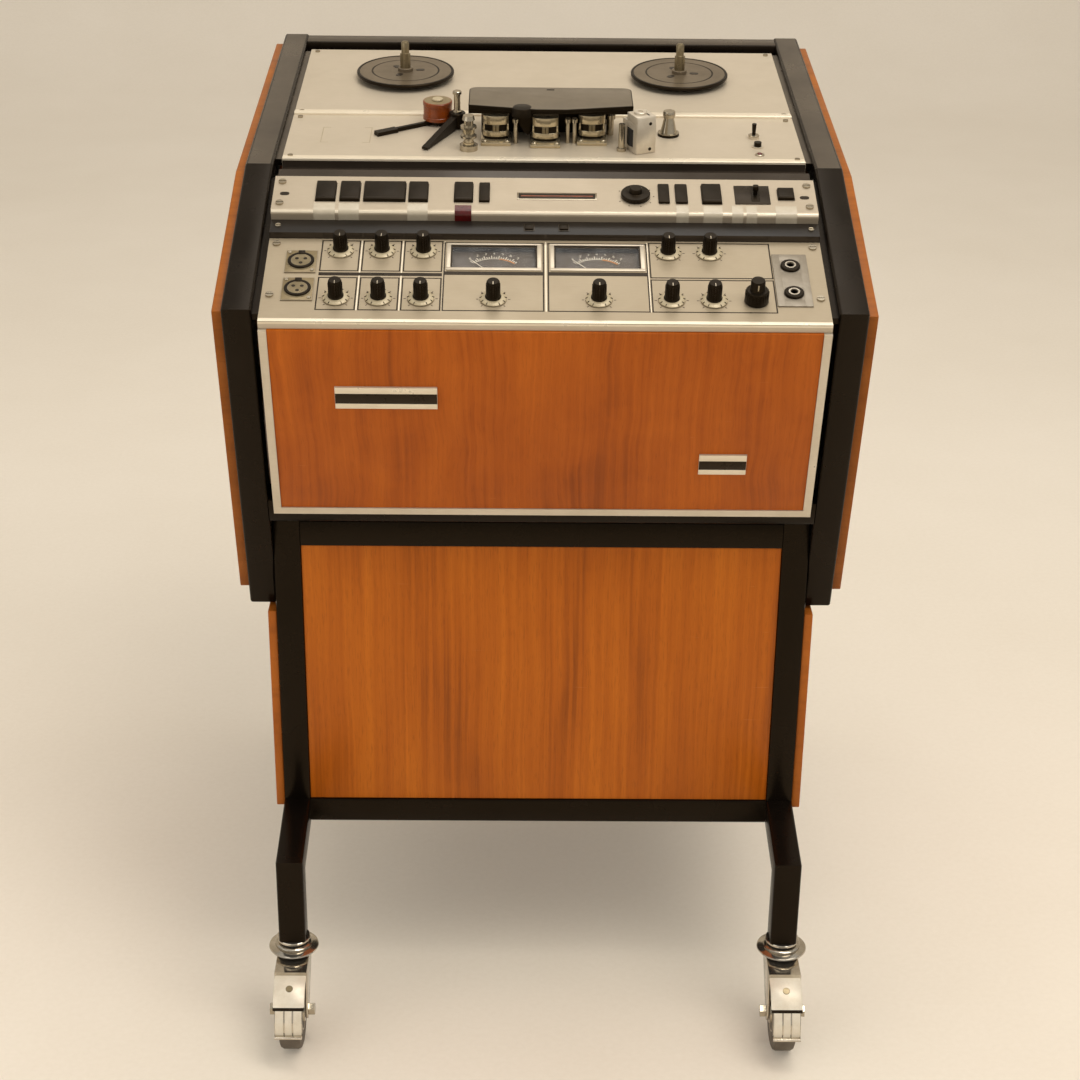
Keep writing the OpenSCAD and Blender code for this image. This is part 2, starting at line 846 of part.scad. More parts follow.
// Fixed guides, posts and pins of the tape path, the capstan bush and the hinge posts of the head cover
module tape_guides() {
    color("#a8a294")
        on_deck() {
            translate([guide_pos[0], guide_pos[1], 0])
                flanged_guide();
            for (p = post_pos)
                translate([p[0], p[1], 0])
                    cylinder(d = 4, h = 24);
            translate([cap_post_pos[0], cap_post_pos[1], 0]) {
                cylinder(d = 7, h = 16);
                translate([0, 0, 16])
                    cylinder(d = 10, h = 4);
            }
            translate([cone_pos[0], cone_pos[1], 0]) {
                cylinder(d = 20, h = 3);
                cylinder(d1 = 17, d2 = 9, h = 18);
                translate([0, 0, 17.5])
                    cylinder(d = 11, h = 6);
            }
            translate([roller_pos[0], roller_pos[1], 0])
                cylinder(d = 6, h = roller_z[1] + 1);
            translate(concat(pivot_place(), 0))
                cylinder(d = pivot_d, h = 20);
            translate([capstan_pos[0], capstan_pos[1], 0])
                difference() {
                    cylinder(d = capstan_d + 3, h = 3);
                    translate([0, 0, -1])
                        cylinder(d = capstan_d + 2 * run_gap, h = 5);
                }
            for (side = [-1, 1])
                translate([cover_x + side * hinge_x, hinge_y, 0])
                    difference() {
                        union() {
                            box([-hinge_r, -hinge_r, 0], [hinge_r, hinge_r, hinge_z]);
                            translate([0, 0, hinge_z])
                                rod_x(hinge_r, 2 * hinge_r);
                        }
                        translate([0, 0, hinge_z])
                            rod_x(hinge_pin_d / 2 + run_gap, 2 * hinge_r + 2);
                    }
        }
}

// Outline of the head cover, moved in by d
module cover_outline(d) {
    half = cover_w / 2 - d;
    back = cover_y[2] - d;
    r = cover_round - d;
    union() {
        polygon([[-half, cover_y[1] + d], [-cover_flat, cover_y[0] + d], [cover_flat, cover_y[0] + d],
            [half, cover_y[1] + d], [half, back - r], [half - r, back], [r - half, back], [-half, back - r]]);
        for (x = [half - r, r - half])
            translate([x, back - r])
                circle(r);
    }
}

// Head cover, hinged on the two posts behind it
module head_cover() {
    color("#4a443e")
        on_deck()
            translate([cover_x, 0, 0]) {
                difference() {
                    translate([0, 0, cover_z[0]])
                        linear_extrude(cover_z[1] - cover_z[0])
                            cover_outline(0);
                    translate([0, 0, cover_z[0] - 1])
                        linear_extrude(cover_z[1] - cover_z[0] + 1 - cover_t)
                            cover_outline(cover_t);
                }
                for (side = [-1, 1])
                    translate([side * (hinge_x - hinge_r - clear - knuckle_l / 2), hinge_y, hinge_z]) {
                        rod_x(hinge_r, knuckle_l);
                        box([-knuckle_l / 2, -hinge_r - 1, -2], [knuckle_l / 2, 0, 2]);
                        translate([side * (knuckle_l / 2 + hinge_r), 0, 0])
                            rod_x(hinge_pin_d / 2, 2 * hinge_r);
                    }
            }
}

// Reel table with its ribbed spindle and drive shaft
module reel_table(side) {
    rib_r = spindle_d / 2 + rib_proud;
    rib_l = spindle_h - spindle_plain + 1;
    color("#55504a")
        on_deck()
            translate([side * reel_x, reel_y, 0]) {
                translate([0, 0, -sheet_t - drive_l + 1])
                    cylinder(d = drive_d, h = drive_l + sheet_t);
                translate([0, 0, table_z[0] - 2])
                    cylinder(d = table_boss_d, h = 2.5);
                translate([0, 0, table_z[0]])
                    cylinder(d = table_d, h = table_z[1] - table_z[0]);
                translate([0, 0, table_z[1] - 1]) {
                    cylinder(d = collar_d, h = collar_h);
                    cylinder(d = spindle_d + spindle_step, h = rib_l);
                    cylinder(d = spindle_d, h = spindle_h + 1);
                }
                for (a = [90, 210, 330])
                    rotate([0, 0, a])
                        translate([0, -rib_w / 2, table_z[1] - 1])
                            cube([rib_r, rib_w, rib_l]);
            }
}

// Roller that the tape passes before the heads
module counter_roller() {
    color("#8a4524")
        on_deck()
            translate([roller_pos[0], roller_pos[1], roller_z[0]])
                difference() {
                    cylinder(d = roller_d, h = roller_z[1] - roller_z[0]);
                    translate([0, 0, -1])
                        cylinder(d = 6 + 2 * run_gap, h = 40);
                }
}

// Tension arm: hub under the roller, tape post, sloping wedge and paddle lever
module tension_arm() {
    reach = norm(arm_tip - arm_post);
    heading = atan2(arm_tip[1] - arm_post[1], arm_tip[0] - arm_post[0]);
    paddle_turn = atan2(-26, -40);
    color("#1d1b19")
        on_deck()
            translate([roller_pos[0], roller_pos[1], 0.3])
                difference() {
                    union() {
                        linear_extrude(arm_t) {
                            circle(d = arm_hub_d);
                            rotate(atan2(arm_post[1], arm_post[0]))
                                translate([0, -4])
                                    square([norm(arm_post), 8]);
                            rotate(paddle_turn)
                                translate([0, -arm_rod[1] / 2])
                                    square(arm_rod);
                            rotate(paddle_turn)
                                translate([arm_paddle[0], -arm_paddle[2] / 2])
                                    square([arm_paddle[1], arm_paddle[2]]);
                        }
                        translate([arm_post[0], arm_post[1], 1])
                            for (i = [0, 1])
                                cylinder(d = arm_post_d[i], h = arm_post_h[i]);
                        translate([arm_post[0], arm_post[1], 0.8])
                            rotate([90, 0, heading])
                                translate([0, 0, -arm_wedge[0] / 2])
                                    linear_extrude(arm_wedge[0])
                                        polygon([[0, 0], [reach, 0], [reach, arm_wedge[1]], [0, arm_wedge[2]]]);
                    }
                    translate([0, 0, -1])
                        cylinder(d = 6 + 2 * run_gap, h = arm_t + 2);
                }
}

// Point of the pinch block on the deck
function block_place(at) =
    block_pos + [at[0] * cos(block_turn) - at[1] * sin(block_turn), at[0] * sin(block_turn) + at[1] * cos(block_turn)];
function pivot_place() = block_place(pivot_at);

// Pinch block, which turns on its pivot and carries the pinch roller
module pinch_arm() {
    color("#d3cfc6")
        on_deck()
            translate([block_pos[0], block_pos[1], 0])
                rotate([0, 0, block_turn])
                    union() {
                        difference() {
                            box([0, 0, block_z[0]], [block[0], block[1], block_z[1]]);
                            translate([pinch_at[0], pinch_at[1], pinch_z[0] - clear])
                                cylinder(d = pinch_d + 4 * clear, h = pinch_z[1] - pinch_z[0] + 2 * clear);
                            translate([pivot_at[0], pivot_at[1], -1])
                                cylinder(d = pivot_d + 2 * run_gap, h = 21 + clear);
                        }
                        translate([pinch_at[0], pinch_at[1], pinch_z[0] - 1])
                            cylinder(d = pinch_pin_d, h = pinch_z[1] - pinch_z[0] + 2);
                    }
}

// Rubber pinch roller in its block
module pinch_roller() {
    at = block_place(pinch_at);
    color("#232120")
        on_deck()
            translate([at[0], at[1], pinch_z[0]])
                difference() {
                    cylinder(d = pinch_d, h = pinch_z[1] - pinch_z[0]);
                    translate([0, 0, -1])
                        cylinder(d = pinch_pin_d + 2 * run_gap, h = 30);
                }
}

// Capstan shaft with its flywheel under the head plate
module capstan() {
    color("#7d7a74")
        on_deck()
            translate([capstan_pos[0], capstan_pos[1], 0]) {
                translate([0, 0, cap_motor_z[0] + 6])
                    cylinder(d = capstan_d, h = 26 - cap_motor_z[0] - 6);
                translate([0, 0, flywheel_z[0]])
                    cylinder(d = flywheel_d, h = flywheel_z[1] - flywheel_z[0]);
            }
}

// Toggle lever on the head plate
module deck_toggle() {
    color("#1b1a18")
        on_deck()
            translate([toggle_pos[0], toggle_pos[1], 1.2]) {
                sphere(d = 5.8);
                rod_x(1, 6.2);
                cylinder(d1 = 3, d2 = 4.4, h = 13);
            }
}

// Push button on the head plate
module deck_button() {
    color("#1b1a18")
        on_deck()
            translate([button_pos[0], button_pos[1], -sheet_t - 7])
                cylinder(d = button_d, h = sheet_t + 12);
}

// Key with its stem
module key(i) {
    k = key_places[i];
    low = -key_raise - preamp_sink - sheet_t - 4;
    color("#1f1c1a")
        on_keys()
            translate([k[0], k[1], 0]) {
                box([-k[2] / 2, -k[3] / 2, -sheet_t - key_travel], [k[2] / 2, k[3] / 2, key_proud]);
                box([-stem_w / 2, -stem_w / 2, low], [stem_w / 2, stem_w / 2, 0]);
            }
}

// Round selector knob on the keyboard
module selector_knob() {
    color("#1d1b19")
        on_keys()
            translate([selector_pos[0], selector_pos[1], 0]) {
                translate([0, 0, clear])
                    cylinder(d = selector_d, h = 4);
                cylinder(d1 = 12, d2 = 10.5, h = 14);
                translate([0, 0, -key_raise - preamp_sink - sheet_t - 4])
                    cylinder(d = shaft_d, h = key_raise + preamp_sink + sheet_t + 6);
            }
}

// Lever switch in its slot on the keyboard
module lever_switch() {
    color("#1d1b19")
        on_keys()
            translate([lever_pos[0], lever_pos[1], -sheet_t - 3]) {
                rod_x(2.6, lever_slot[0] - 2 * clear);
                box([-1.8, -1.5, 0], [1.8, 1.5, sheet_t + 12]);
            }
}

// Knob with its skirt and shaft
module knob(i) {
    p = knob_place(i);
    color("#1e1c1a")
        on_preamp()
            translate([p[0], p[1], 0]) {
                translate([0, 0, -sheet_t - bush_l - 4])
                    cylinder(d = shaft_d, h = sheet_t + bush_l + 6);
                translate([0, 0, clear])
                    cylinder(d1 = skirt_d, d2 = skirt_d - 4, h = 2.4);
                translate([0, 0, clear])
                    cylinder(d1 = knob_d, d2 = knob_d - 2, h = knob_h);
            }
}

// Dual knob: wide lower part with a narrower one on top
module knob_dual() {
    p = knob_place(knob_count - 1);
    color("#1e1c1a")
        on_preamp()
            translate([p[0], p[1], 0]) {
                translate([0, 0, -sheet_t - bush_l - 4])
                    cylinder(d = shaft_d, h = sheet_t + bush_l + 6);
                translate([0, 0, clear])
                    cylinder(d1 = knob_d + 8, d2 = knob_d + 6, h = knob_h * 0.62);
                translate([0, 0, knob_h * 0.6])
                    cylinder(d1 = knob_d, d2 = knob_d - 1, h = knob_h * 0.56);
            }
}

// Meter movements behind the panel, with bezel, glass and needle pin
module meter_cases() {
    half = meter_span / 2;
    color("#bdb8ac")
        on_preamp()
            for (x = meter_x)
                translate([x, 0, 0]) {
                    difference() {
                        box([-half - 3, needle_y - 6, -sheet_t - meter_depth], [half + 3, meter_y[1] + 2, -sheet_t]);
                        box([-half, needle_y - 4, -sheet_t - meter_cavity], [half, meter_y[1], 0]);
                    }
                    translate([0, needle_y, -sheet_t - meter_cavity - 1])
                        cylinder(d = needle_pin_d, h = meter_cavity);
                    box([-half, meter_y[0], -sheet_t + 0.4], [half, meter_y[1], -0.4]);
                    difference() {
                        box([-half - meter_bezel, meter_y[0] - meter_bezel, 0],
                            [half + meter_bezel, meter_y[1] + 2, 1.5]);
                        box([-half, meter_y[0], -1], [half, meter_y[1], 3]);
                    }
                }
}

// Needle of a meter, at its left stop
module needle(i) {
    color("#e8e2d4")
        on_preamp()
            translate([meter_x[i], needle_y, -sheet_t - meter_cavity + 1.4])
                difference() {
                    union() {
                        cylinder(d = 4.4, h = 1.8);
                        rotate([0, 0, needle_rest])
                            box([-0.5, 0, 0.6], [0.5, needle_l, 1.2]);
                    }
                    translate([0, 0, -1])
                        cylinder(d = needle_pin_d + 2 * run_gap, h = 5);
                }
}

// Microphone sockets on the left, jack plate with two jacks on the right
module panel_sockets() {
    plate_t = 1.2;
    color("#a89c84")
        on_preamp() {
            for (y = socket_y)
                translate([-socket_x, y, 0])
                    difference() {
                        union() {
                            translate([-socket_plate[0] / 2, -socket_plate[1] / 2, 0])
                                cube([socket_plate[0], socket_plate[1], plate_t]);
                            translate([0, 0, -24])
                                cylinder(d = socket_body_d, h = 24 + plate_t / 2);
                            cylinder(d = 22, h = plate_t + 1.4);
                        }
                        translate([0, 0, plate_t])
                            difference() {
                                cylinder(d = 19.6, h = 3);
                                cylinder(d = 17.6, h = 3);
                            }
                        for (a = [30, 150, 270])
                            rotate([0, 0, a])
                                translate([4.2, 0, -6])
                                    cylinder(d = 2.6, h = 12);
                    }
            difference() {
                box([jack_x - jack_plate[0], jack_y[0] - jack_plate[1], 0],
                    [jack_x + jack_plate[0], jack_y[1] + jack_plate[1], plate_t]);
                for (y = jack_y)
                    translate([jack_x, y, -1])
                        cylinder(d = jack_bush_d + 2 * clear, h = 4);
            }
            for (y = jack_y)
                translate([jack_x, y, 0])
                    difference() {
                        union() {
                            translate([0, 0, plate_t + seam])
                                cylinder(d = jack_bush_d + 4, h = 2 - seam);
                            translate([0, 0, -sheet_t - 1])
                                cylinder(d = jack_bush_d, h = sheet_t + plate_t + 2);
                            translate([0, 0, 3.2 - jack_depth - 2])
                                cylinder(d = jack_bush_d + 4, h = jack_depth - sheet_t - 1.2);
                        }
                        translate([0, 0, 3.2 - jack_depth])
                            cylinder(d = jack_d, h = jack_depth + 1);
                    }
        }
}

// Castor fork with stem, ball race, brake shield and axle, at its swivel
module fork(side, row) {
    half = fork_in / 2;
    axle = [-castor_trail, wheel_r];
    color("#b8b4aa")
        translate([side * castor_x, castor_y[row], 0]) {
            translate([0, 0, castor_h - clear])
                cylinder(r = stem_r, h = stem_l);
            translate([0, 0, castor_h - clear - disc_t])
                cylinder(r1 = disc_r, r2 = disc_r - 3, h = disc_t);
            translate([0, 0, crown_top - 1])
                cylinder(r = race_r, h = castor_h - clear - disc_t - crown_top + 2);
            box([-half - cheek_t, -castor_trail - 6, crown_top - crown_t], [half + cheek_t, race_r, crown_top]);
            both_sides()
                translate([half + cheek_t / 2, 0, 0]) {
                    across(cheek_t)
                        polygon([[race_r, crown_top - 1], [-castor_trail - 6, crown_top - 1],
                            [axle[0] - cheek_r, axle[1]], [axle[0] + cheek_r, axle[1]], [race_r, crown_top - 9]]);
                    translate([0, axle[0], axle[1]])
                        rod_x(cheek_r, cheek_t);
                    translate([cheek_t / 2 + nut_l / 2, axle[0], axle[1]])
                        rod_x(nut_r, nut_l);
                }
            translate([0, axle[0], axle[1]]) {
                rod_x(axle_r, fork_in + 2 * cheek_t);
                rotate([0, 90, 0])
                    rotate([0, 0, 180])
                        rotate_extrude(angle = 90)
                            translate([shield_r - shield_t, -half])
                                square([shield_t, fork_in]);
                box([-half, -shield_r - pedal_l, 0], [half, -shield_r + shield_t, shield_t]);
            }
        }
}

// Castor wheel with its hub
module wheel(side, row) {
    color("#6b6660")
        translate([side * castor_x, castor_y[row] - castor_trail, wheel_r])
            difference() {
                union() {
                    rod_x(wheel_r - 2, wheel_w);
                    rod_x(wheel_r, wheel_w - 4);
                    rod_x(12, hub_w);
                }
                rod_x(axle_r + run_gap, hub_w + 2);
            }
}

console_frame();
side_panels();
front_panel();
front_trim();
deck_plates();
fascia_strips();
keyboard_panel();
preamp_panel();
chassis();
rear_cover();
stand_frame();
stand_panels();
panel_screws();
drive_motors();
tape_heads();
tape_guides();
meter_cases();
panel_sockets();
head_cover();
reel_table(-1);  // reel_table_left
reel_table(1);  // reel_table_right
counter_roller();
tension_arm();
pinch_arm();
pinch_roller();
capstan();
deck_toggle();
deck_button();
key(0);  // key_rewind
key(1);  // key_wind
key(2);  // key_play
key(3);  // key_stop
key(4);  // key_record
key(5);  // key_cue
key(6);  // key_power
selector_knob();
lever_switch();
knob(0);  // knob_in_1
knob(1);  // knob_in_2
knob(2);  // knob_in_3
knob(3);  // knob_mix_1
knob(4);  // knob_mix_2
knob(5);  // knob_mix_3
knob(6);  // knob_meter_1
knob(7);  // knob_meter_2
knob(8);  // knob_out_1
knob(9);  // knob_out_2
knob(10);  // knob_tone_1
knob(11);  // knob_tone_2
knob_dual();
needle(0);  // needle_left
needle(1);  // needle_right
fork(-1, 0);  // fork_front_left
fork(1, 0);  // fork_front_right
fork(-1, 1);  // fork_rear_left
fork(1, 1);  // fork_rear_right
wheel(-1, 0);  // wheel_front_left
wheel(1, 0);  // wheel_front_right
wheel(-1, 1);  // wheel_rear_left
wheel(1, 1);  // wheel_rear_right
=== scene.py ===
"""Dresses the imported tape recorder: finishes, trim, controls, castors, light, floor and camera."""
import logging
import math
from dataclasses import dataclass
from enum import Enum
from typing import Any, Sequence

import bmesh
import bpy
from mathutils import Matrix, Vector


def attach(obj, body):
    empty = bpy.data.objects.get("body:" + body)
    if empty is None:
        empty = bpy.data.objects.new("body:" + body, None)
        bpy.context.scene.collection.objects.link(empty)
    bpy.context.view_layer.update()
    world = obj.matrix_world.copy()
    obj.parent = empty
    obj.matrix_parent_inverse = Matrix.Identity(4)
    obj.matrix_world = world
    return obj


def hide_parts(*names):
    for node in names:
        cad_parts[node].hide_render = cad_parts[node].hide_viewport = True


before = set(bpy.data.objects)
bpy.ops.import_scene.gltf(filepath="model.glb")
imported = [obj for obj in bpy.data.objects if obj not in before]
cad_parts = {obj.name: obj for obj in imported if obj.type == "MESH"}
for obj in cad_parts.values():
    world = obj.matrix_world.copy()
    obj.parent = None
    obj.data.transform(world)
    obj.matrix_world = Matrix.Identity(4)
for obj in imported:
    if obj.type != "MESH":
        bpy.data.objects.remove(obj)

LOG = logging.getLogger("tape_recorder")
MM = 0.001
SHARP_ANGLE = 38.0
ROOT = "console"
Point = tuple[float, float, float]
Flat = tuple[float, float]


def linear(code: str) -> tuple[float, float, float, float]:
    """Turns an sRGB hex value to a linear colour.

    Args:
        code: Six hex digits, with or without a leading hash.

    Returns:
        The linear red, green, blue and an alpha of one.
    """
    code = code.lstrip("#")
    parts = [int(code[i:i + 2], 16) / 255 for i in (0, 2, 4)]
    low = [c / 12.92 if c <= 0.04045 else ((c + 0.055) / 1.055) ** 2.4 for c in parts]
    return (low[0], low[1], low[2], 1.0)


def add_node(tree: bpy.types.NodeTree, kind: str, props: dict[str, Any] | None = None,
             values: dict[Any, Any] | None = None, links: dict[Any, Any] | None = None) -> bpy.types.Node:
    """Adds a node with its settings and links.

    Args:
        tree: The node tree that gets the node.
        kind: The node's type name.
        props: Properties of the node itself.
        values: Values of its inputs, by name or number.
        links: Sockets that feed its inputs, by name or number.

    Returns:
        The new node.
    """
    made = tree.nodes.new(kind)
    for key, value in (props or {}).items():
        setattr(made, key, value)
    for key, value in (values or {}).items():
        made.inputs[key].default_value = value
    for key, socket in (links or {}).items():
        tree.links.new(socket, made.inputs[key])
    return made


def blank_material(name: str) -> tuple[bpy.types.Material, bpy.types.NodeTree, bpy.types.Node]:
    """Makes an empty node material.

    Args:
        name: The material's name.

    Returns:
        The material, its tree and its output node.
    """
    made = bpy.data.materials.new(name)
    made.use_nodes = True
    tree = made.node_tree
    tree.nodes.clear()
    return made, tree, add_node(tree, "ShaderNodeOutputMaterial")


def ranged(tree: bpy.types.NodeTree, value: bpy.types.NodeSocket, read: Flat,
           give: Flat) -> bpy.types.NodeSocket:
    """Maps one span of values to another and stops at its ends.

    Args:
        tree: The material's tree.
        value: The value that is mapped.
        read: The span that is read.
        give: The span that is given.

    Returns:
        The mapped value.
    """
    spans = {"From Min": read[0], "From Max": read[1], "To Min": give[0], "To Max": give[1]}
    made = add_node(tree, "ShaderNodeMapRange", {"clamp": True}, spans, {"Value": value})
    return made.outputs["Result"]


@dataclass(frozen=True)
class Coat:
    """A paint, metal, plastic or rubber with a grit that breaks up its colour, gloss and surface.

    The fleck is the colour of the grit, and the gleam that of the shine.
    """

    name: str
    colour: str
    fleck: str
    roughness: float
    metallic: float = 0.0
    spread: float = 0.06
    grit_mm: float = 1.2
    cloud_mm: float = 60.0
    bump_mm: float = 0.01
    stretch: Point = (1.0, 1.0, 1.0)
    shine: float = 0.5
    gleam: str = "ffffff"
    grit_share: float = 0.45
    least_roughness: float = 0.03

    def material(self) -> bpy.types.Material:
        """Builds the material.

        Returns:
            The finished material.
        """
        made, tree, out = blank_material(self.name)
        place = add_node(tree, "ShaderNodeTexCoord")
        grit_scale = [1.0 / (self.grit_mm * MM * s) for s in self.stretch]
        grit_at = add_node(tree, "ShaderNodeMapping", values={"Scale": grit_scale},
                           links={"Vector": place.outputs["Object"]})
        grit = add_node(tree, "ShaderNodeTexNoise", values={"Scale": 1.0, "Detail": 3.0, "Roughness": 0.55},
                        links={"Vector": grit_at.outputs["Vector"]})
        cloud = add_node(tree, "ShaderNodeTexNoise",
                         values={"Scale": 1.0 / (self.cloud_mm * MM), "Detail": 4.0, "Roughness": 0.6},
                         links={"Vector": place.outputs["Object"]})
        both = add_node(tree, "ShaderNodeMath", {"operation": "MULTIPLY_ADD"}, {1: self.grit_share},
                        {0: grit.outputs["Fac"], 2: cloud.outputs["Fac"]})
        share = ranged(tree, both.outputs["Value"], (0.5, 1.0), (0.0, 1.0))
        tint = add_node(tree, "ShaderNodeMix", {"data_type": "RGBA"},
                        {6: linear(self.colour), 7: linear(self.fleck)}, {0: share})
        span = (max(self.least_roughness, self.roughness - self.spread),
                min(1.0, self.roughness + self.spread))
        gloss = ranged(tree, cloud.outputs["Fac"], (0.3, 0.7), span)
        bump = add_node(tree, "ShaderNodeBump", values={"Strength": 0.6, "Distance": self.bump_mm * MM},
                        links={"Height": grit.outputs["Fac"]})
        shader = add_node(tree, "ShaderNodeBsdfPrincipled",
                          values={"Metallic": self.metallic, "Specular IOR Level": self.shine,
                                  "Specular Tint": linear(self.gleam)},
                          links={"Base Color": tint.outputs[2], "Roughness": gloss,
                                 "Normal": bump.outputs["Normal"]})
        tree.links.new(shader.outputs["BSDF"], out.inputs["Surface"])
        return made


@dataclass(frozen=True)
class Veneer:
    """Oiled wood veneer with upright grain: arched growth lines, fine streaks, short pores and pale scuffs.

    The pattern ignores the axis that runs through the sheet, so the grain stays upright on a leaning panel.
    """

    name: str
    light: str
    mid: str
    dark: str
    scuffed: str = "d08a4a"
    leaf_mm: float = 120.0
    leaf_long_mm: float = 620.0
    rings: float = 5.0
    band_mm: float = 58.0
    band_long_mm: float = 380.0
    streak_mm: float = 6.5
    streak_long_mm: float = 340.0
    pore_mm: float = 0.9
    pore_long_mm: float = 14.0
    scuff_wide_mm: float = 34.0
    scuff_mm: float = 1.6
    mottle_mm: Flat = (46.0, 62.0)
    sway_mm: float = 10.0
    sway_long_mm: float = 130.0
    band: float = 0.8
    streak: float = 0.75
    mottle: float = 0.5
    arch: float = 0.06
    roughness: float = 0.4
    shine: float = 0.22
    pore_depth_mm: float = 0.05
    flat: str = "Y"
    shift: Point = (0.0, 0.0, 0.0)

    def swayed(self, tree: bpy.types.NodeTree) -> bpy.types.NodeSocket:
        """Gives coordinates that wander from side to side along the grain.

        Args:
            tree: The material's tree.

        Returns:
            The wandering coordinates.
        """
        place = add_node(tree, "ShaderNodeTexCoord")
        wave = add_node(tree, "ShaderNodeTexNoise",
                        values={"Scale": 1 / (self.sway_long_mm * MM), "Detail": 2.0},
                        links={"Vector": place.outputs["Object"]})
        aside = add_node(tree, "ShaderNodeMath", {"operation": "MULTIPLY_ADD"},
                         {1: 2 * self.sway_mm * MM, 2: -self.sway_mm * MM}, {0: wave.outputs["Fac"]})
        offset = add_node(tree, "ShaderNodeCombineXYZ",
                          links={"X": aside.outputs["Value"], "Y": aside.outputs["Value"]})
        moved = add_node(tree, "ShaderNodeVectorMath", {"operation": "ADD"},
                         links={0: place.outputs["Object"], 1: offset.outputs["Vector"]})
        return moved.outputs["Vector"]

    def noise(self, tree: bpy.types.NodeTree, place: bpy.types.NodeSocket, across: float, along: float,
              detail: float) -> bpy.types.NodeSocket:
        """Adds a noise stretched along the grain.

        Args:
            tree: The material's tree.
            place: The coordinates that it reads.
            across: Its size across the grain, in millimetres.
            along: Its size along the grain, in millimetres.
            detail: Its detail.

        Returns:
            The noise's value.
        """
        scale = [1 / (across * MM), 1 / (across * MM), 1 / (along * MM)]
        scale["XYZ".index(self.flat)] = 0.0
        mapped = add_node(tree, "ShaderNodeMapping", values={"Scale": scale, "Location": self.shift},
                          links={"Vector": place})
        made = add_node(tree, "ShaderNodeTexNoise",
                        values={"Scale": 1.0, "Detail": detail, "Roughness": 0.55, "Distortion": 0.35},
                        links={"Vector": mapped.outputs["Vector"]})
        return made.outputs["Fac"]

    def added(self, tree: bpy.types.NodeTree, value: bpy.types.NodeSocket, weight: float,
              total: bpy.types.NodeSocket | None) -> bpy.types.NodeSocket:
        """Adds a weighted pattern to what is there already.

        Args:
            tree: The material's tree.
            value: The pattern.
            weight: Its weight.
            total: The patterns so far.

        Returns:
            The sum.
        """
        links = {0: value} if total is None else {0: value, 2: total}
        summed = add_node(tree, "ShaderNodeMath", {"operation": "MULTIPLY_ADD"}, {1: weight, 2: 0.0}, links)
        return summed.outputs["Value"]

    def material(self) -> bpy.types.Material:
        """Builds the material.

        Returns:
            The finished material.
        """
        made, tree, out = blank_material(self.name)
        place = self.swayed(tree)
        leaf = self.noise(tree, place, self.leaf_mm, self.leaf_long_mm, 1.5)
        pore = self.noise(tree, place, self.pore_mm, self.pore_long_mm, 2.0)
        scuff = self.noise(tree, place, self.scuff_wide_mm, self.scuff_mm, 2.0)
        band = self.noise(tree, place, self.band_mm, self.band_long_mm, 2.0)
        streak = self.noise(tree, place, self.streak_mm, self.streak_long_mm, 5.0)
        mottle = self.noise(tree, place, *self.mottle_mm, 3.0)
        turns = add_node(tree, "ShaderNodeMath", {"operation": "MULTIPLY"}, {1: self.rings * math.tau},
                         {0: leaf})
        arch = add_node(tree, "ShaderNodeMath", {"operation": "SINE"}, links={0: turns.outputs["Value"]})
        whole = self.added(tree, band, self.band, None)
        whole = self.added(tree, streak, self.streak, whole)
        whole = self.added(tree, mottle, self.mottle, whole)
        whole = self.added(tree, arch.outputs["Value"], self.arch, whole)
        mean = (self.band + self.streak + self.mottle) / 2
        span = ranged(tree, whole, (mean - 0.38, mean + 0.34), (0.0, 1.0))
        ramp = add_node(tree, "ShaderNodeValToRGB", links={"Fac": span})
        stops = ramp.color_ramp.elements
        stops[0].position, stops[0].color = 0.0, linear(self.dark)
        stops[1].position, stops[1].color = 1.0, linear(self.light)
        middle = stops.new(0.45)
        middle.color = linear(self.mid)
        pits = ranged(tree, pore, (0.3, 0.45), (0.3, 0.0))
        open_grain = add_node(tree, "ShaderNodeMix", {"data_type": "RGBA"}, {7: linear(self.dark)},
                              {0: pits, 6: ramp.outputs["Color"]})
        worn = ranged(tree, scuff, (0.73, 0.8), (0.0, 0.35))
        tint = add_node(tree, "ShaderNodeMix", {"data_type": "RGBA"}, {7: linear(self.scuffed)},
                        {0: worn, 6: open_grain.outputs[2]})
        bump = add_node(tree, "ShaderNodeBump",
                        values={"Strength": 0.5, "Distance": self.pore_depth_mm * MM},
                        links={"Height": pore})
        gloss = ranged(tree, band, (0.3, 0.7), (self.roughness - 0.07, self.roughness + 0.08))
        shader = add_node(tree, "ShaderNodeBsdfPrincipled", values={"Specular IOR Level": self.shine},
                          links={"Base Color": tint.outputs[2], "Roughness": gloss,
                                 "Normal": bump.outputs["Normal"]})
        tree.links.new(shader.outputs["BSDF"], out.inputs["Surface"])
        return made


@dataclass(frozen=True)
class Pane:
    """Clear sheet that shows what lies under it."""

    name: str
    tint: str = "ffffff"
    roughness: float = 0.04
    bending: float = 1.49
    dust_mm: float = 14.0

    def material(self) -> bpy.types.Material:
        """Builds the material.

        Returns:
            The finished material.
        """
        made, tree, out = blank_material(self.name)
        place = add_node(tree, "ShaderNodeTexCoord")
        dust = add_node(tree, "ShaderNodeTexNoise", values={"Scale": 1 / (self.dust_mm * MM), "Detail": 3.0},
                        links={"Vector": place.outputs["Object"]})
        film = ranged(tree, dust.outputs["Fac"], (0.35, 0.75), (0.02, 0.05))
        shader = add_node(tree, "ShaderNodeBsdfPrincipled",
                          values={"Base Color": linear(self.tint), "Roughness": self.roughness,
                                  "IOR": self.bending}, links={"Alpha": film})
        tree.links.new(shader.outputs["BSDF"], out.inputs["Surface"])
        return made


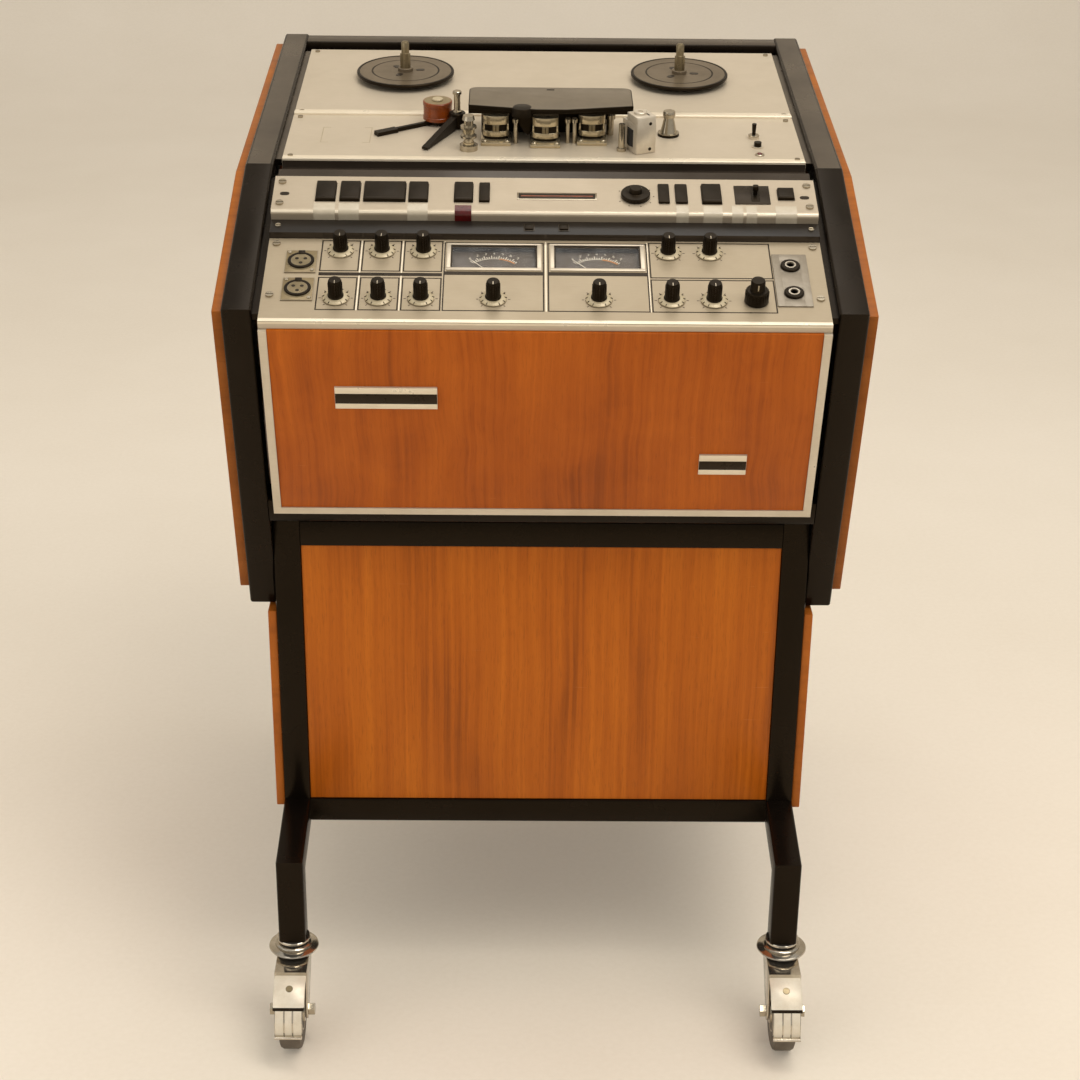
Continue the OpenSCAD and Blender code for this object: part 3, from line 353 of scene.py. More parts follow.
class Finish(Enum):
    """Every finish on the recorder."""

    # Sprayed mild steel tube: satin black with a soft orange peel and faint scuffs
    TUBE = Coat("sprayed_steel_tube", "090604", "140f0b", 0.26, 0.0, 0.07, 0.9, 90.0, 0.015, shine=0.2,
                gleam="e6c8a0")
    # The same paint, made lighter on the upward sides of the rails: a painted sheen for the bright room
    # mirrored in them
    TUBE_TOP = Coat("tube_top_painted_sheen", "4a4033", "3b332a", 0.3, 0.0, 0.07, 0.9, 90.0, 0.015, shine=0.4)
    # Oiled teak veneer: orange-brown, softly mottled, with wandering grain and open pores
    TEAK = Veneer("oiled_teak_front", "c76817", "b0560d", "843d07", streak_mm=5.0, shift=(0.9, 0.0, 0.4))
    # The same veneer on the sides, where the sheet stands across
    TEAK_SIDE = Veneer("oiled_teak_side", "ac6320", "975312", "753b08", flat="X", shift=(0.0, 0.3, 0.1))
    # The stand's teak: straighter grain in broad bands, in a lighter tone
    STAND_TEAK = Veneer("oiled_teak_stand", "d0731a", "b55d10", "7a3b08", rings=2.5, leaf_mm=80.0,
                        band_mm=40.0, streak_mm=4.5, sway_mm=3.0, mottle=0.15, shift=(0.4, 0.2, 0.1))
    # The stand's side panels
    STAND_SIDE = Veneer("oiled_teak_stand_side", "b96822", "a45717", "7f400e", rings=2.5, sway_mm=4.0,
                        flat="X")
    # Satin anodised aluminium sheet: warm silver with a fine drawn grain along the panel
    PANEL = Coat("anodised_aluminium_panel", "cabda8", "beb19b", 0.4, 0.3, 0.06, 0.7, 80.0, 0.006,
                 (14.0, 1.0, 1.0))
    # The preamplifier's anodising has yellowed a little
    PREAMP = Coat("aged_anodised_panel", "aa9b82", "9f9077", 0.4, 0.3, 0.06, 0.7, 70.0, 0.006,
                  (14.0, 1.0, 1.0))
    # The key panel's sheet: the same anodising, a little greyer
    KEYS = Coat("key_panel_aluminium", "b9ab95", "ad9f89", 0.38, 0.35, 0.06, 0.7, 70.0, 0.006,
                (14.0, 1.0, 1.0))
    # Painted highlight along the rounded edge of a folded sheet; also the bright silver of the name plates'
    # edges and the module bars
    NOSE = Coat("painted_highlight_and_bright_silver", "f0e4cd", "e0d2b8", 0.3, 0.3, 0.05, 0.6, 60.0, 0.004, (18.0, 1.0, 1.0))
    # Faint outline of a bare badge place
    FAINT = Coat("faint_outline", "b5a68b", "a99a7f", 0.45, 0.2, 0.05, 0.5, 20.0, 0.003)
    # Extruded aluminium trim: bright with a drawn grain
    TRIM = Coat("extruded_aluminium_trim", "d8ccb8", "c6b9a3", 0.32, 0.4, 0.05, 0.6, 50.0, 0.005,
                (18.0, 1.0, 1.0))
    # Sprayed steel strip: dark brown-black, half gloss
    STRIP = Coat("sprayed_dark_strip", "17130f", "231d17", 0.34, 0.0, 0.07, 0.8, 60.0, 0.01, shine=0.35)
    # Screen-printed fascia: dark grey-brown and glossy, so it picks up what stands over it
    FASCIA = Coat("printed_fascia_strip", "352d25", "423930", 0.15, 0.3, 0.05, 0.7, 90.0, 0.004,
                  (14.0, 1.0, 1.0))
    # Grey-brown stoved enamel on the head cover
    COVER = Coat("stoved_grey_enamel", "716655", "655b4b", 0.34, 0.15, 0.06, 0.7, 40.0, 0.008)
    # Moulded phenolic plastic: black, slightly shiny on top
    BLACK = Coat("moulded_phenolic", "0e0b07", "18130d", 0.36, 0.0, 0.08, 0.5, 12.0, 0.006, shine=0.2,
                 gleam="eccba0")
    # Black enamel line or inlay
    ENAMEL = Coat("black_enamel", "17130f", "221d18", 0.3, 0.0, 0.05, 0.4, 15.0, 0.003, shine=0.3,
                  gleam="eccba0")
    # Turned aluminium with a dark anodised face: rings that catch the light
    TABLE = Coat("turned_dark_aluminium", "756753", "665a48", 0.36, 0.45, 0.06, 0.5, 30.0, 0.006)
    # Moulded rubber: dull black
    RUBBER = Coat("moulded_rubber", "100d0b", "1b1714", 0.72, 0.0, 0.08, 0.7, 14.0, 0.02)
    # Ground steel: grey, fine lines round the part
    STEEL = Coat("ground_steel", "b6ac98", "a89e8b", 0.2, 0.9, 0.07, 0.4, 9.0, 0.004)
    # Machined brass with a dull plating
    BRASS = Coat("dull_brass", "94866a", "72664c", 0.32, 0.8, 0.08, 0.4, 8.0, 0.004)
    # Cast mumetal cans and feet: pale grey, satin
    HEAD = Coat("satin_head_metal", "c6b799", "b6a88a", 0.2, 0.75, 0.08, 0.4, 10.0, 0.004)
    # Ground aluminium block: pale and flat, with sharp edges
    BLOCK = Coat("ground_aluminium_block", "d6ccba", "c2b6a2", 0.34, 0.4, 0.06, 0.4, 12.0, 0.004)
    # Brown bakelite roller: glossy red-brown
    ROLLER = Coat("brown_bakelite", "8f4315", "63290a", 0.3, 0.0, 0.06, 0.5, 8.0, 0.006)
    # Cream urea plastic: skirts and roller top
    CREAM = Coat("cream_urea_plastic", "bfb090", "aa9c7e", 0.36, 0.15, 0.06, 0.5, 10.0, 0.004)
    # Cream lens
    LENS = Coat("cream_lens", "c2b7a2", "b6ab95", 0.22, 0.0, 0.05, 0.5, 6.0, 0.004)
    # Deep red acrylic lens
    RED = Coat("red_acrylic_lens", "5c0d0a", "3c0806", 0.2, 0.0, 0.04, 0.5, 6.0, 0.003)
    # Black card of a meter, faintly grained
    DIAL = Coat("black_meter_card", "43382c", "4e4234", 0.55, 0.0, 0.05, 0.4, 14.0, 0.003)
    # White printing on a dial
    WHITE = Coat("white_print", "e4dbc6", "d2c8b2", 0.5, 0.0, 0.05, 0.4, 8.0, 0.002)
    # Orange printing on a dial
    ORANGE = Coat("orange_print", "c27a24", "a86718", 0.5, 0.0, 0.05, 0.4, 8.0, 0.002)
    # Clear acrylic pane with a little dust
    PANE = Pane("clear_acrylic_pane")
    # Beige lacquer on the microphone sockets
    SOCKET = Coat("beige_socket_plate", "93825f", "7c6c4e", 0.36, 0.3, 0.06, 0.5, 9.0, 0.004)
    # Grey plate of the jacks
    JACK = Coat("grey_jack_plate", "9a9080", "8a8070", 0.38, 0.3, 0.06, 0.5, 9.0, 0.004)
    # Chrome plating with small pits
    CHROME = Coat("pitted_chrome", "d2cabc", "a39a8a", 0.13, 0.95, 0.06, 0.8, 16.0, 0.01)
    # Pale zinc plate on the castor's brake
    ZINC = Coat("pale_zinc_plate", "efe6d3", "dccfb8", 0.36, 0.2, 0.08, 0.8, 12.0, 0.01)
    # Grey rubber tyre, scuffed
    TYRE = Coat("grey_castor_rubber", "6a5f51", "4f463b", 0.62, 0.0, 0.08, 1.0, 18.0, 0.03)
    # Sprayed grey steel of the drive motors
    MOTOR = Coat("sprayed_motor_case", "3c3a37", "4a4743", 0.45, 0.2, 0.08, 1.0, 40.0, 0.02)
    # Zinc-plated chassis sheet
    SHEET = Coat("zinc_plated_sheet", "8e887b", "777164", 0.4, 0.7, 0.08, 1.2, 35.0, 0.01)
    # Black sprayed sheet of the back
    BACK = Coat("sprayed_back_sheet", "1d1a17", "2a2622", 0.48, 0.0, 0.07, 0.9, 80.0, 0.02)

    def material(self) -> bpy.types.Material:
        """Gives the one material of this finish, built when it is first asked for."""
        found = bpy.data.materials.get(self.value.name)
        return found if found else self.value.material()


class Rake:
    """The side view's sizes, as the solids have them, in millimetres."""

    TUBE = 25.4
    PANEL_W = 482.6
    CONSOLE_IN = 494.6
    SHOULDER: Flat = (-261.169377, 732.0)
    SLOPE_TILT = 17.3
    SLOPE_LEN = 222.0
    DECK_TILT = 4.7
    RAIL_LEN = 392.0
    LEG_LEAN = 16.6
    LEG_LEN = 337.0
    DECK_SINK = 3.0
    KEY_RAISE = 9.0
    PREAMP_SINK = 6.0

    @staticmethod
    def step(start: Flat, length: float, angle: float) -> Flat:
        """Gives where a walk in the side view ends, at an angle in degrees above level."""
        turn = math.radians(angle)
        return (start[0] + length * math.cos(turn), start[1] + length * math.sin(turn))

    @classmethod
    def loop(cls) -> list[Flat]:
        """Gives the outline of a side frame.

        Returns:
            The corners as Y and Z, counter-clockwise from the rear top corner.
        """
        bend = cls.step(cls.SHOULDER, cls.SLOPE_LEN, cls.SLOPE_TILT)
        rear = cls.step(bend, cls.RAIL_LEN, cls.DECK_TILT)
        foot = cls.step(cls.SHOULDER, cls.LEG_LEN, cls.LEG_LEAN - 90)
        return [rear, bend, cls.SHOULDER, foot, (rear[0], foot[1])]


class Where(Enum):
    """The planes that pieces are measured from: origin as Y and Z, tilt, and rise above the plane."""

    FLOOR = ((0.0, 0.0), 0.0, 0.0)
    DECK = (Rake.step(Rake.SHOULDER, Rake.SLOPE_LEN, Rake.SLOPE_TILT), Rake.DECK_TILT, -Rake.DECK_SINK)
    SLOPE = (Rake.SHOULDER, Rake.SLOPE_TILT, 0.0)
    KEYS = (Rake.SHOULDER, Rake.SLOPE_TILT, Rake.KEY_RAISE)
    PREAMP = (Rake.SHOULDER, Rake.SLOPE_TILT, -Rake.PREAMP_SINK)
    LEG = (Rake.SHOULDER, Rake.LEG_LEAN, 0.0)

    def matrix(self) -> Matrix:
        """Gives the turn from this plane's millimetres to the model's metres."""
        (y, z), tilt, rise = self.value
        return (Matrix.Scale(MM, 4) @ Matrix.Translation((0, y, z))
                @ Matrix.Rotation(math.radians(tilt), 4, "X") @ Matrix.Translation((0, 0, rise)))


def rounded(part: bmesh.types.BMesh, edges: list[bmesh.types.BMEdge], radius: float, steps: int) -> None:
    """Rounds the given edges of a part."""
    bmesh.ops.bevel(part, geom=edges, offset=radius, affect="EDGES", segments=steps, profile=0.5,
                    material=-1)


def grown_verts(grown: dict[str, list[Any]]) -> list[bmesh.types.BMVert]:
    """Gives the new corners from the result of an extrusion."""
    return [g for g in grown["geom"] if isinstance(g, bmesh.types.BMVert)]


class Shape:
    """One piece: parts modelled in millimetres on one of the planes, gathered into one mesh."""

    def __init__(self, name: str, where: Where = Where.FLOOR) -> None:
        """Starts an empty piece.

        Args:
            name: The piece's name.
            where: The plane that its parts are measured from.
        """
        self.name = name
        self.where = where
        self.whole = bmesh.new()
        self.finishes: list[Finish] = []

    def take(self, part: bmesh.types.BMesh, finish: Finish, pose: Matrix | None = None) -> None:
        """Adds a modelled part.

        Args:
            part: The part's mesh, which is used up.
            finish: The part's finish.
            pose: A move within the plane.
        """
        if finish not in self.finishes:
            self.finishes.append(finish)
        bmesh.ops.recalc_face_normals(part, faces=part.faces)
        for face in part.faces:
            face.material_index = self.finishes.index(finish)
            face.smooth = True
        bmesh.ops.transform(part, matrix=self.where.matrix() @ (pose or Matrix()), verts=part.verts)
        carrier = bpy.data.meshes.new("carrier")
        part.to_mesh(carrier)
        part.free()
        self.whole.from_mesh(carrier)
        bpy.data.meshes.remove(carrier)

    def box(self, low: Point, high: Point, finish: Finish, edge: float = 0.0, along: str = "",
            pose: Matrix | None = None, segments: int = 2) -> None:
        """Adds a box with rounded edges.

        Args:
            low: Its lowest corner.
            high: Its highest corner.
            finish: Its finish.
            edge: Radius of its edges.
            along: Rounds only the edges along this axis, where it is given.
            pose: A move within the plane.
            segments: Steps of the rounding.
        """
        part = bmesh.new()
        bmesh.ops.create_cube(part, size=1.0)
        size = [b - a for a, b in zip(low, high)]
        bmesh.ops.scale(part, vec=size, verts=part.verts)
        bmesh.ops.translate(part, vec=[(a + b) / 2 for a, b in zip(low, high)], verts=part.verts)
        if edge > 0:
            edges = list(part.edges)
            if along:
                axis = "XYZ".index(along)
                edges = [e for e in edges if abs((e.verts[0].co - e.verts[1].co)[axis]) > 1e-6]
            rounded(part, edges, edge, segments)
        self.take(part, finish, pose)

    def prism(self, outline: Sequence[Flat], low: float, high: float, finish: Finish, edge: float = 0.0,
              across: bool = False, lengthwise: bool = False, pose: Matrix | None = None) -> None:
        """Adds a flat outline given a thickness.

        Args:
            outline: The outline's corners.
            low: Where the thickness starts.
            high: Where it ends.
            finish: Its finish.
            edge: Radius of its edges.
            across: Takes the outline as a side view, with the thickness along X.
            lengthwise: Rounds only the two longest sides of a four-cornered outline.
            pose: A move within the plane.
        """
        part = bmesh.new()
        spots = [(low, a, b) if across else (a, b, low) for a, b in outline]
        face = part.faces.new([part.verts.new(s) for s in spots])
        longest = sorted((e.calc_length() for e in face.edges), reverse=True)[1] - 1e-4
        grown = bmesh.ops.extrude_face_region(part, geom=[face])
        shift = Vector((high - low, 0, 0)) if across else Vector((0, 0, high - low))
        bmesh.ops.translate(part, vec=shift, verts=grown_verts(grown))
        if edge > 0:
            edges = list(part.edges)
            if lengthwise:
                edges = [e for e in edges if e.calc_length() >= longest
                         and abs((e.verts[0].co - e.verts[1].co).normalized().dot(shift.normalized())) < 0.5]
            rounded(part, edges, edge, 3)
        self.take(part, finish, pose)

    def lathe(self, profile: Sequence[Flat], at: Point, finish: Finish, steps: int = 48, axis: str = "Z",
              turn: float = 360.0, start: float = 0.0) -> None:
        """Adds a turned part.

        Args:
            profile: Radius and height of each point, from one end to the other.
            at: Where the axis starts.
            finish: Its finish.
            steps: Steps of the turn.
            axis: Axis of the turn, X, Y or Z.
            turn: How far it turns, in degrees.
            start: Where the turn starts, in degrees.
        """
        part = bmesh.new()
        chain = [part.verts.new((r, 0, h)) for r, h in profile]
        lines = [part.edges.new(pair) for pair in zip(chain, chain[1:])]
        full = turn >= 360
        bmesh.ops.spin(part, geom=chain + lines, cent=(0, 0, 0), axis=(0, 0, 1), angle=math.radians(turn),
                       steps=steps, use_merge=full)
        bmesh.ops.remove_doubles(part, verts=part.verts, dist=1e-5)
        if full:
            ends = [e for e in part.edges if e.is_boundary]
            if ends:
                bmesh.ops.holes_fill(part, edges=ends)
        turns = {"X": Matrix.Rotation(math.radians(90), 4, "Y"),
                 "Y": Matrix.Rotation(math.radians(-90), 4, "X"), "Z": Matrix()}
        pose = Matrix.Translation(at) @ turns[axis] @ Matrix.Rotation(math.radians(start), 4, "Z")
        self.take(part, finish, pose)

    def rod(self, start: Point, end: Point, radius: float, finish: Finish, steps: int = 20) -> None:
        """Adds a round rod with slightly broken ends.

        Args:
            start: Middle of one end.
            end: Middle of the other end.
            radius: Its radius.
            finish: Its finish.
            steps: Sides of the round.
        """
        line = Vector(end) - Vector(start)
        part = bmesh.new()
        bmesh.ops.create_cone(part, cap_ends=True, segments=steps, radius1=radius, radius2=radius,
                              depth=line.length)
        rims = [e for e in part.edges if abs(e.verts[0].co.z - e.verts[1].co.z) < 1e-6]
        rounded(part, rims, min(0.3, radius * 0.2), 1)
        turn = line.to_track_quat("Z", "Y").to_matrix().to_4x4()
        self.take(part, finish, Matrix.Translation((Vector(start) + Vector(end)) / 2) @ turn)

    def words(self, text: str, at: Point, height: float, finish: Finish) -> None:
        """Adds a plain number as a thin print.

        Args:
            text: The number.
            at: Its middle.
            height: Height of its digits.
            finish: Its finish.
        """
        curve = bpy.data.curves.new("print", "FONT")
        curve.body = text
        curve.size = height
        curve.align_x = "CENTER"
        curve.align_y = "CENTER"
        holder = bpy.data.objects.new("print", curve)
        flat = bpy.data.meshes.new_from_object(holder)
        part = bmesh.new()
        part.from_mesh(flat)
        bpy.data.objects.remove(holder)
        bpy.data.curves.remove(curve)
        bpy.data.meshes.remove(flat)
        self.take(part, finish, Matrix.Translation(at))

    def done(self, body: str = ROOT, replaces: Sequence[str] = ()) -> bpy.types.Object:
        """Makes the object and puts it on its body.

        Args:
            body: The body that it rides on.
            replaces: Nodes that it stands for.

        Returns:
            The finished object.
        """
        mesh = bpy.data.meshes.new(self.name)
        self.whole.to_mesh(mesh)
        self.whole.free()
        mesh.set_sharp_from_angle(angle=math.radians(SHARP_ANGLE))
        for finish in self.finishes:
            mesh.materials.append(finish.material())
        made = bpy.data.objects.new(self.name, mesh)
        bpy.context.scene.collection.objects.link(made)
        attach(made, body)
        if replaces:
            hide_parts(*replaces)
        LOG.info("built %s on %s", self.name, body)
        return made


def spun(at: Point, angle: float, axis: str = "Z") -> Matrix:
    """Gives a turn by an angle in degrees, about an axis through a point."""
    return Matrix.Translation(at) @ Matrix.Rotation(math.radians(angle), 4, axis)


def arc(middle: Flat, radii: Flat, start: float, sweep: float, steps: int) -> list[Flat]:
    """Gives the points of an arc, both ends too, with angles in degrees and a radius for each axis."""
    turns = [math.radians(start + sweep * i / steps) for i in range(steps + 1)]
    return [(middle[0] + radii[0] * math.cos(t), middle[1] + radii[1] * math.sin(t)) for t in turns]


def inset(outline: Sequence[Flat], depth: float) -> list[Flat]:
    """Moves a closed outline inwards.

    Args:
        outline: Corners, counter-clockwise.
        depth: How far each side moves.

    Returns:
        The moved corners.
    """
    moved = []
    for i, corner in enumerate(outline):
        here = Vector(corner)
        first = (here - Vector(outline[i - 1])).normalized()
        second = (Vector(outline[(i + 1) % len(outline)]) - here).normalized()
        a, b = Vector((-first.y, first.x)), Vector((-second.y, second.x))
        spot = here + depth * (a + b) / (1 + a.dot(b))
        moved.append((spot.x, spot.y))
    return moved


@dataclass
class TubeWork:
    """Black square tubes of the console and the stand."""

    corner: float = 2.4
    stand_w: float = 494.6
    stand_y: Flat = (-179.169377, 220.830623)
    stand_top: float = 499.3525
    base_h: float = 201.8
    arm_reach: float = 94.0
    arm_drop: float = 12.0
    castor_h: float = 100.0
    bar_drop: float = 211.0
    ledge_w: float = 22.0
    ledge_z: Flat = (-8.0, -2.0)
    deck_ledge: Flat = (25.5, 348.5)
    slope_ledge: Flat = (5.0, 211.0)
    # Least upward normal of the faces that get the painted top sheen, for the console and the stand
    console_sheen_limit: float = 0.985
    stand_sheen_limit: float = 0.9995

    def build(self) -> None:
        """Builds the tubes of the console and the stand."""
        self.console()
        self.stand()

    def bar(self, shape: Shape, low: Point, high: Point, along: str) -> None:
        """Adds a straight tube between two corners, along an axis."""
        shape.box(low, high, Finish.TUBE, self.corner, along)

    def bent(self, shape: Shape, outline: Sequence[Flat], low: float) -> None:
        """Adds one length of a bent tube, from its side view and where it starts across."""
        shape.prism(outline, low, low + Rake.TUBE, Finish.TUBE, self.corner, across=True, lengthwise=True)

    def console(self) -> None:
        """Builds the two side frames, the cross bars and the panel ledges."""
        shape = Shape("console_tubes")
        loop = Rake.loop()
        inner = inset(loop, Rake.TUBE)
        for side in (-1, 1):
            low = side * (Rake.CONSOLE_IN + Rake.TUBE) / 2 - Rake.TUBE / 2
            for i in range(len(loop)):
                j = (i + 1) % len(loop)
                self.bent(shape, [loop[i], loop[j], inner[j], inner[i]], low)
        half = Rake.CONSOLE_IN / 2
        rear_y, foot_z = loop[0][0], loop[3][1]
        self.bar(shape, (-half, rear_y - Rake.TUBE, foot_z), (half, rear_y, foot_z + Rake.TUBE), "X")
        shape.where = Where.DECK
        back = Rake.RAIL_LEN - Rake.TUBE * math.tan(math.radians(Rake.DECK_TILT))
        self.bar(shape, (-half, back - Rake.TUBE, Rake.DECK_SINK - Rake.TUBE), (half, back, Rake.DECK_SINK),
                 "X")
        for side in (-1, 1):
            left, right = sorted((side * half, side * (half - self.ledge_w)))
            low, high = self.ledge_z
            for plane, (start, end) in ((Where.DECK, self.deck_ledge), (Where.PREAMP, self.slope_ledge)):
                shape.where = plane
                shape.box((left, start, low), (right, end, high), Finish.TUBE)
        shape.where = Where.LEG
        self.bar(shape, (-half, 0, -self.bar_drop - Rake.TUBE), (half, Rake.TUBE, -self.bar_drop), "X")
        self.paint_top_sheen(shape.done(replaces=["console_frame"]), self.console_sheen_limit)

    def paint_top_sheen(self, made: bpy.types.Object, limit: float) -> None:
        """Gives the upward faces a lighter copy of the tube paint: a painted sheen.

        Args:
            made: The tubes.
            limit: The least upward part of a face's normal.
        """
        # Upward faces get the lighter paint: a painted sheen, not a finish of their own
        made.data.materials.append(Finish.TUBE_TOP.material())
        for face in made.data.polygons:
            if face.normal.z > limit:
                face.material_index = len(made.data.materials) - 1

    def stand(self) -> None:
        """Builds the stand's uprights, rails, bars, arms and legs."""
        shape = Shape("stand_tubes")
        t = Rake.TUBE
        front, back = self.stand_y
        middle = (front + back) / 2
        knee = (front - self.arm_reach, self.base_h - self.arm_drop)
        run = math.hypot(self.arm_reach, self.arm_drop)
        cut = t * run / self.arm_reach
        fall = Vector((self.arm_drop, -self.arm_reach)) / run
        inside = Vector(knee) + t * (fall + Vector((1, 0))) / (1 + fall.x)
        arm = [(front, self.base_h), knee, (inside.x, inside.y), (front, self.base_h - cut)]
        leg = [knee, (knee[0], self.castor_h), (knee[0] + t, self.castor_h), (inside.x, inside.y)]
        for side in (-1, 1):
            low = side * (self.stand_w - t) / 2 - t / 2
            for outline in (arm, leg):
                for flip in (False, True):
                    flat = [(2 * middle - y, z) for y, z in reversed(outline)] if flip else outline
                    self.bent(shape, flat, low)
            self.bar(shape, (low, front, self.base_h - t), (low + t, back, self.base_h), "Y")
            for y in (front, back - t):
                self.bar(shape, (low, y, self.base_h), (low + t, y + t, self.stand_top), "Z")
        half = self.stand_w / 2 - t
        for y in (front, back - t):
            for z in (self.base_h - t, self.stand_top - t):
                self.bar(shape, (-half, y, z), (half, y + t, z + t), "X")
        self.paint_top_sheen(shape.done(replaces=["stand_frame"]), self.stand_sheen_limit)


@dataclass
class WoodPanels:
    """Teak panels of the console and the stand, and the name plates' bare inlays."""

    edge: float = 0.9
    side_t: float = 9.0
    side_inset: float = 8.0
    side_lift: float = 15.0
    front_t: float = 10.0
    front_h: float = 203.0
    drop: float = 14.0
    trim: float = 7.0
    plates: tuple[tuple[float, float, float, float], ...] = ((-180.0, 121.5, 88.0, 23.0),
                                                             (137.0, 50.0, 42.0, 22.0))
    plate_t: float = 1.6
    stand_front: Flat = (2.0, 10.0)
    stand_side_t: float = 8.0

    def build(self) -> None:
        """Builds the panels of the console and the stand."""
        self.sides()
        self.front()
        self.stand()

    def sides(self) -> None:
        """Builds the two outer panels."""
        shape = Shape("teak_sides")
        loop = inset(Rake.loop(), self.side_inset)
        lower = Rake.loop()[3][1] + self.side_lift
        rear, bend, shoulder, foot, _ = loop
        share = (shoulder[1] - lower) / (shoulder[1] - foot[1])
        cut = (shoulder[0] + share * (foot[0] - shoulder[0]), lower)
        outline = [rear, bend, shoulder, cut, (rear[0], lower)]
        start = Rake.CONSOLE_IN / 2 + Rake.TUBE
        for low in (start, -start - self.side_t):
            shape.prism(outline, low, low + self.side_t, Finish.TEAK_SIDE, self.edge, across=True)
        shape.done(replaces=["side_panels"])

    def front(self) -> None:
        """Builds the panel under the preamplifier and the inlays of the name plates."""
        shape = Shape("teak_front", Where.LEG)
        half = Rake.PANEL_W / 2 - self.trim
        low = -self.drop - self.front_h
        shape.box((-half, -self.front_t, low + self.trim), (half, 0, -self.drop), Finish.TEAK, 0.5)
        shape.done(replaces=["front_panel"])
        inlay = Shape("bare_name_plates", Where.LEG)
        face = -self.front_t - self.plate_t
        for x, rise, w, h in self.plates:
            z = low + rise
            inlay.box((x + 0.2, face - 0.3, z + 5.6), (x + w - 0.2, face + 0.1, z + h - 6.6), Finish.ENAMEL,
                      0.1)
            for low_z, high_z in ((z + 0.2, z + 5.6), (z + h - 6.6, z + h - 0.2)):
                inlay.box((x + 0.1, face - 0.5, low_z), (x + w - 0.1, face + 0.1, high_z), Finish.NOSE, 0.2)
        inlay.done()

    def stand(self) -> None:
        """Builds the stand's front panel and its two side panels."""
        work = TubeWork()
        shape = Shape("teak_stand")
        between = work.stand_w / 2 - Rake.TUBE
        front, back = work.stand_y
        near, far = self.stand_front
        shape.box((-between, front + near, work.base_h), (between, front + far, work.stand_top - Rake.TUBE),
                  Finish.STAND_TEAK, self.edge)
        for side in (-1, 1):
            edges = sorted((side * work.stand_w / 2, side * (work.stand_w / 2 + self.stand_side_t)))
            shape.box((edges[0], front + 3, work.base_h - 9), (edges[1], back - 3, Rake.loop()[3][1] - 4),
                      Finish.STAND_SIDE, self.edge)
        shape.done(replaces=["stand_panels"])


@dataclass
class ReelTables:
    """The two reel tables with their ribbed spindles."""

    pitch: float = 277.0
    y: float = 258.0
    radius: float = 49.0
    top: float = 8.0
    spindle_r: float = 3.95
    core_r: float = 4.2
    spindle_h: float = 30.0
    plain: float = 12.0
    slot_at: float = 15.0

    def build(self) -> None:
        """Builds both tables."""
        for name, side in (("left", -1), ("right", 1)):
            shape = Shape(f"reel_table_{name}_turned", Where.DECK)
            at = (side * self.pitch / 2, self.y, 0.0)
            r, top = self.radius, self.top
            shape.lathe([(6, -30), (6, 1), (20, 1), (20, 4), (r - 2.6, 4), (r, 5.2), (r, top - 0.9),
                         (r - 0.8, top), (r - 2.6, top), (r - 2.9, top - 0.4)], at, Finish.BLACK, 72)
            shape.lathe([(5, top - 0.3), (30, top - 0.3), (32.6, top - 0.25), (32.9, top - 1),
                         (34.1, top - 1), (34.4, top - 0.25), (r - 2.9, top - 0.3), (r - 2.9, top - 2),
                         (5, top - 2)], at, Finish.TABLE, 72)
            shape.lathe([(0, top), (7.2, top), (7.6, top - 0.3), (7.6, top - 3.2)], (at[0], at[1], 3),
                        Finish.TABLE)
            self.spindle(shape, at)
            for turn in (8, 128, 248):
                shape.box((self.slot_at - 4.5, -3, top - 0.9), (self.slot_at + 4.5, 3, top - 0.1),
                          Finish.ENAMEL, 2.6, "Z", spun(at, -side * turn))
            node = f"reel_table_{name}"
            shape.done(node, [node])

    def spindle(self, shape: Shape, at: Point) -> None:
        """Adds the ribbed core and the plain pin over it.

        Args:
            shape: The table's piece.
            at: Middle of the table.
        """
        step = self.top + self.spindle_h - self.plain
        tip = self.top + self.spindle_h
        shape.lathe([(self.core_r, self.top), (self.core_r, step), (self.spindle_r, step + 0.2),
                     (self.spindle_r, tip - 2), (self.spindle_r - 1, tip - 0.4), (1.6, tip), (0, tip)], at,
                    Finish.BRASS, 32)
        for turn in (90, 210, 330):
            shape.box((0, -1.1, self.top), (self.core_r + 1.3, 1.1, step), Finish.BRASS, 0.35,
                      pose=spun(at, turn))


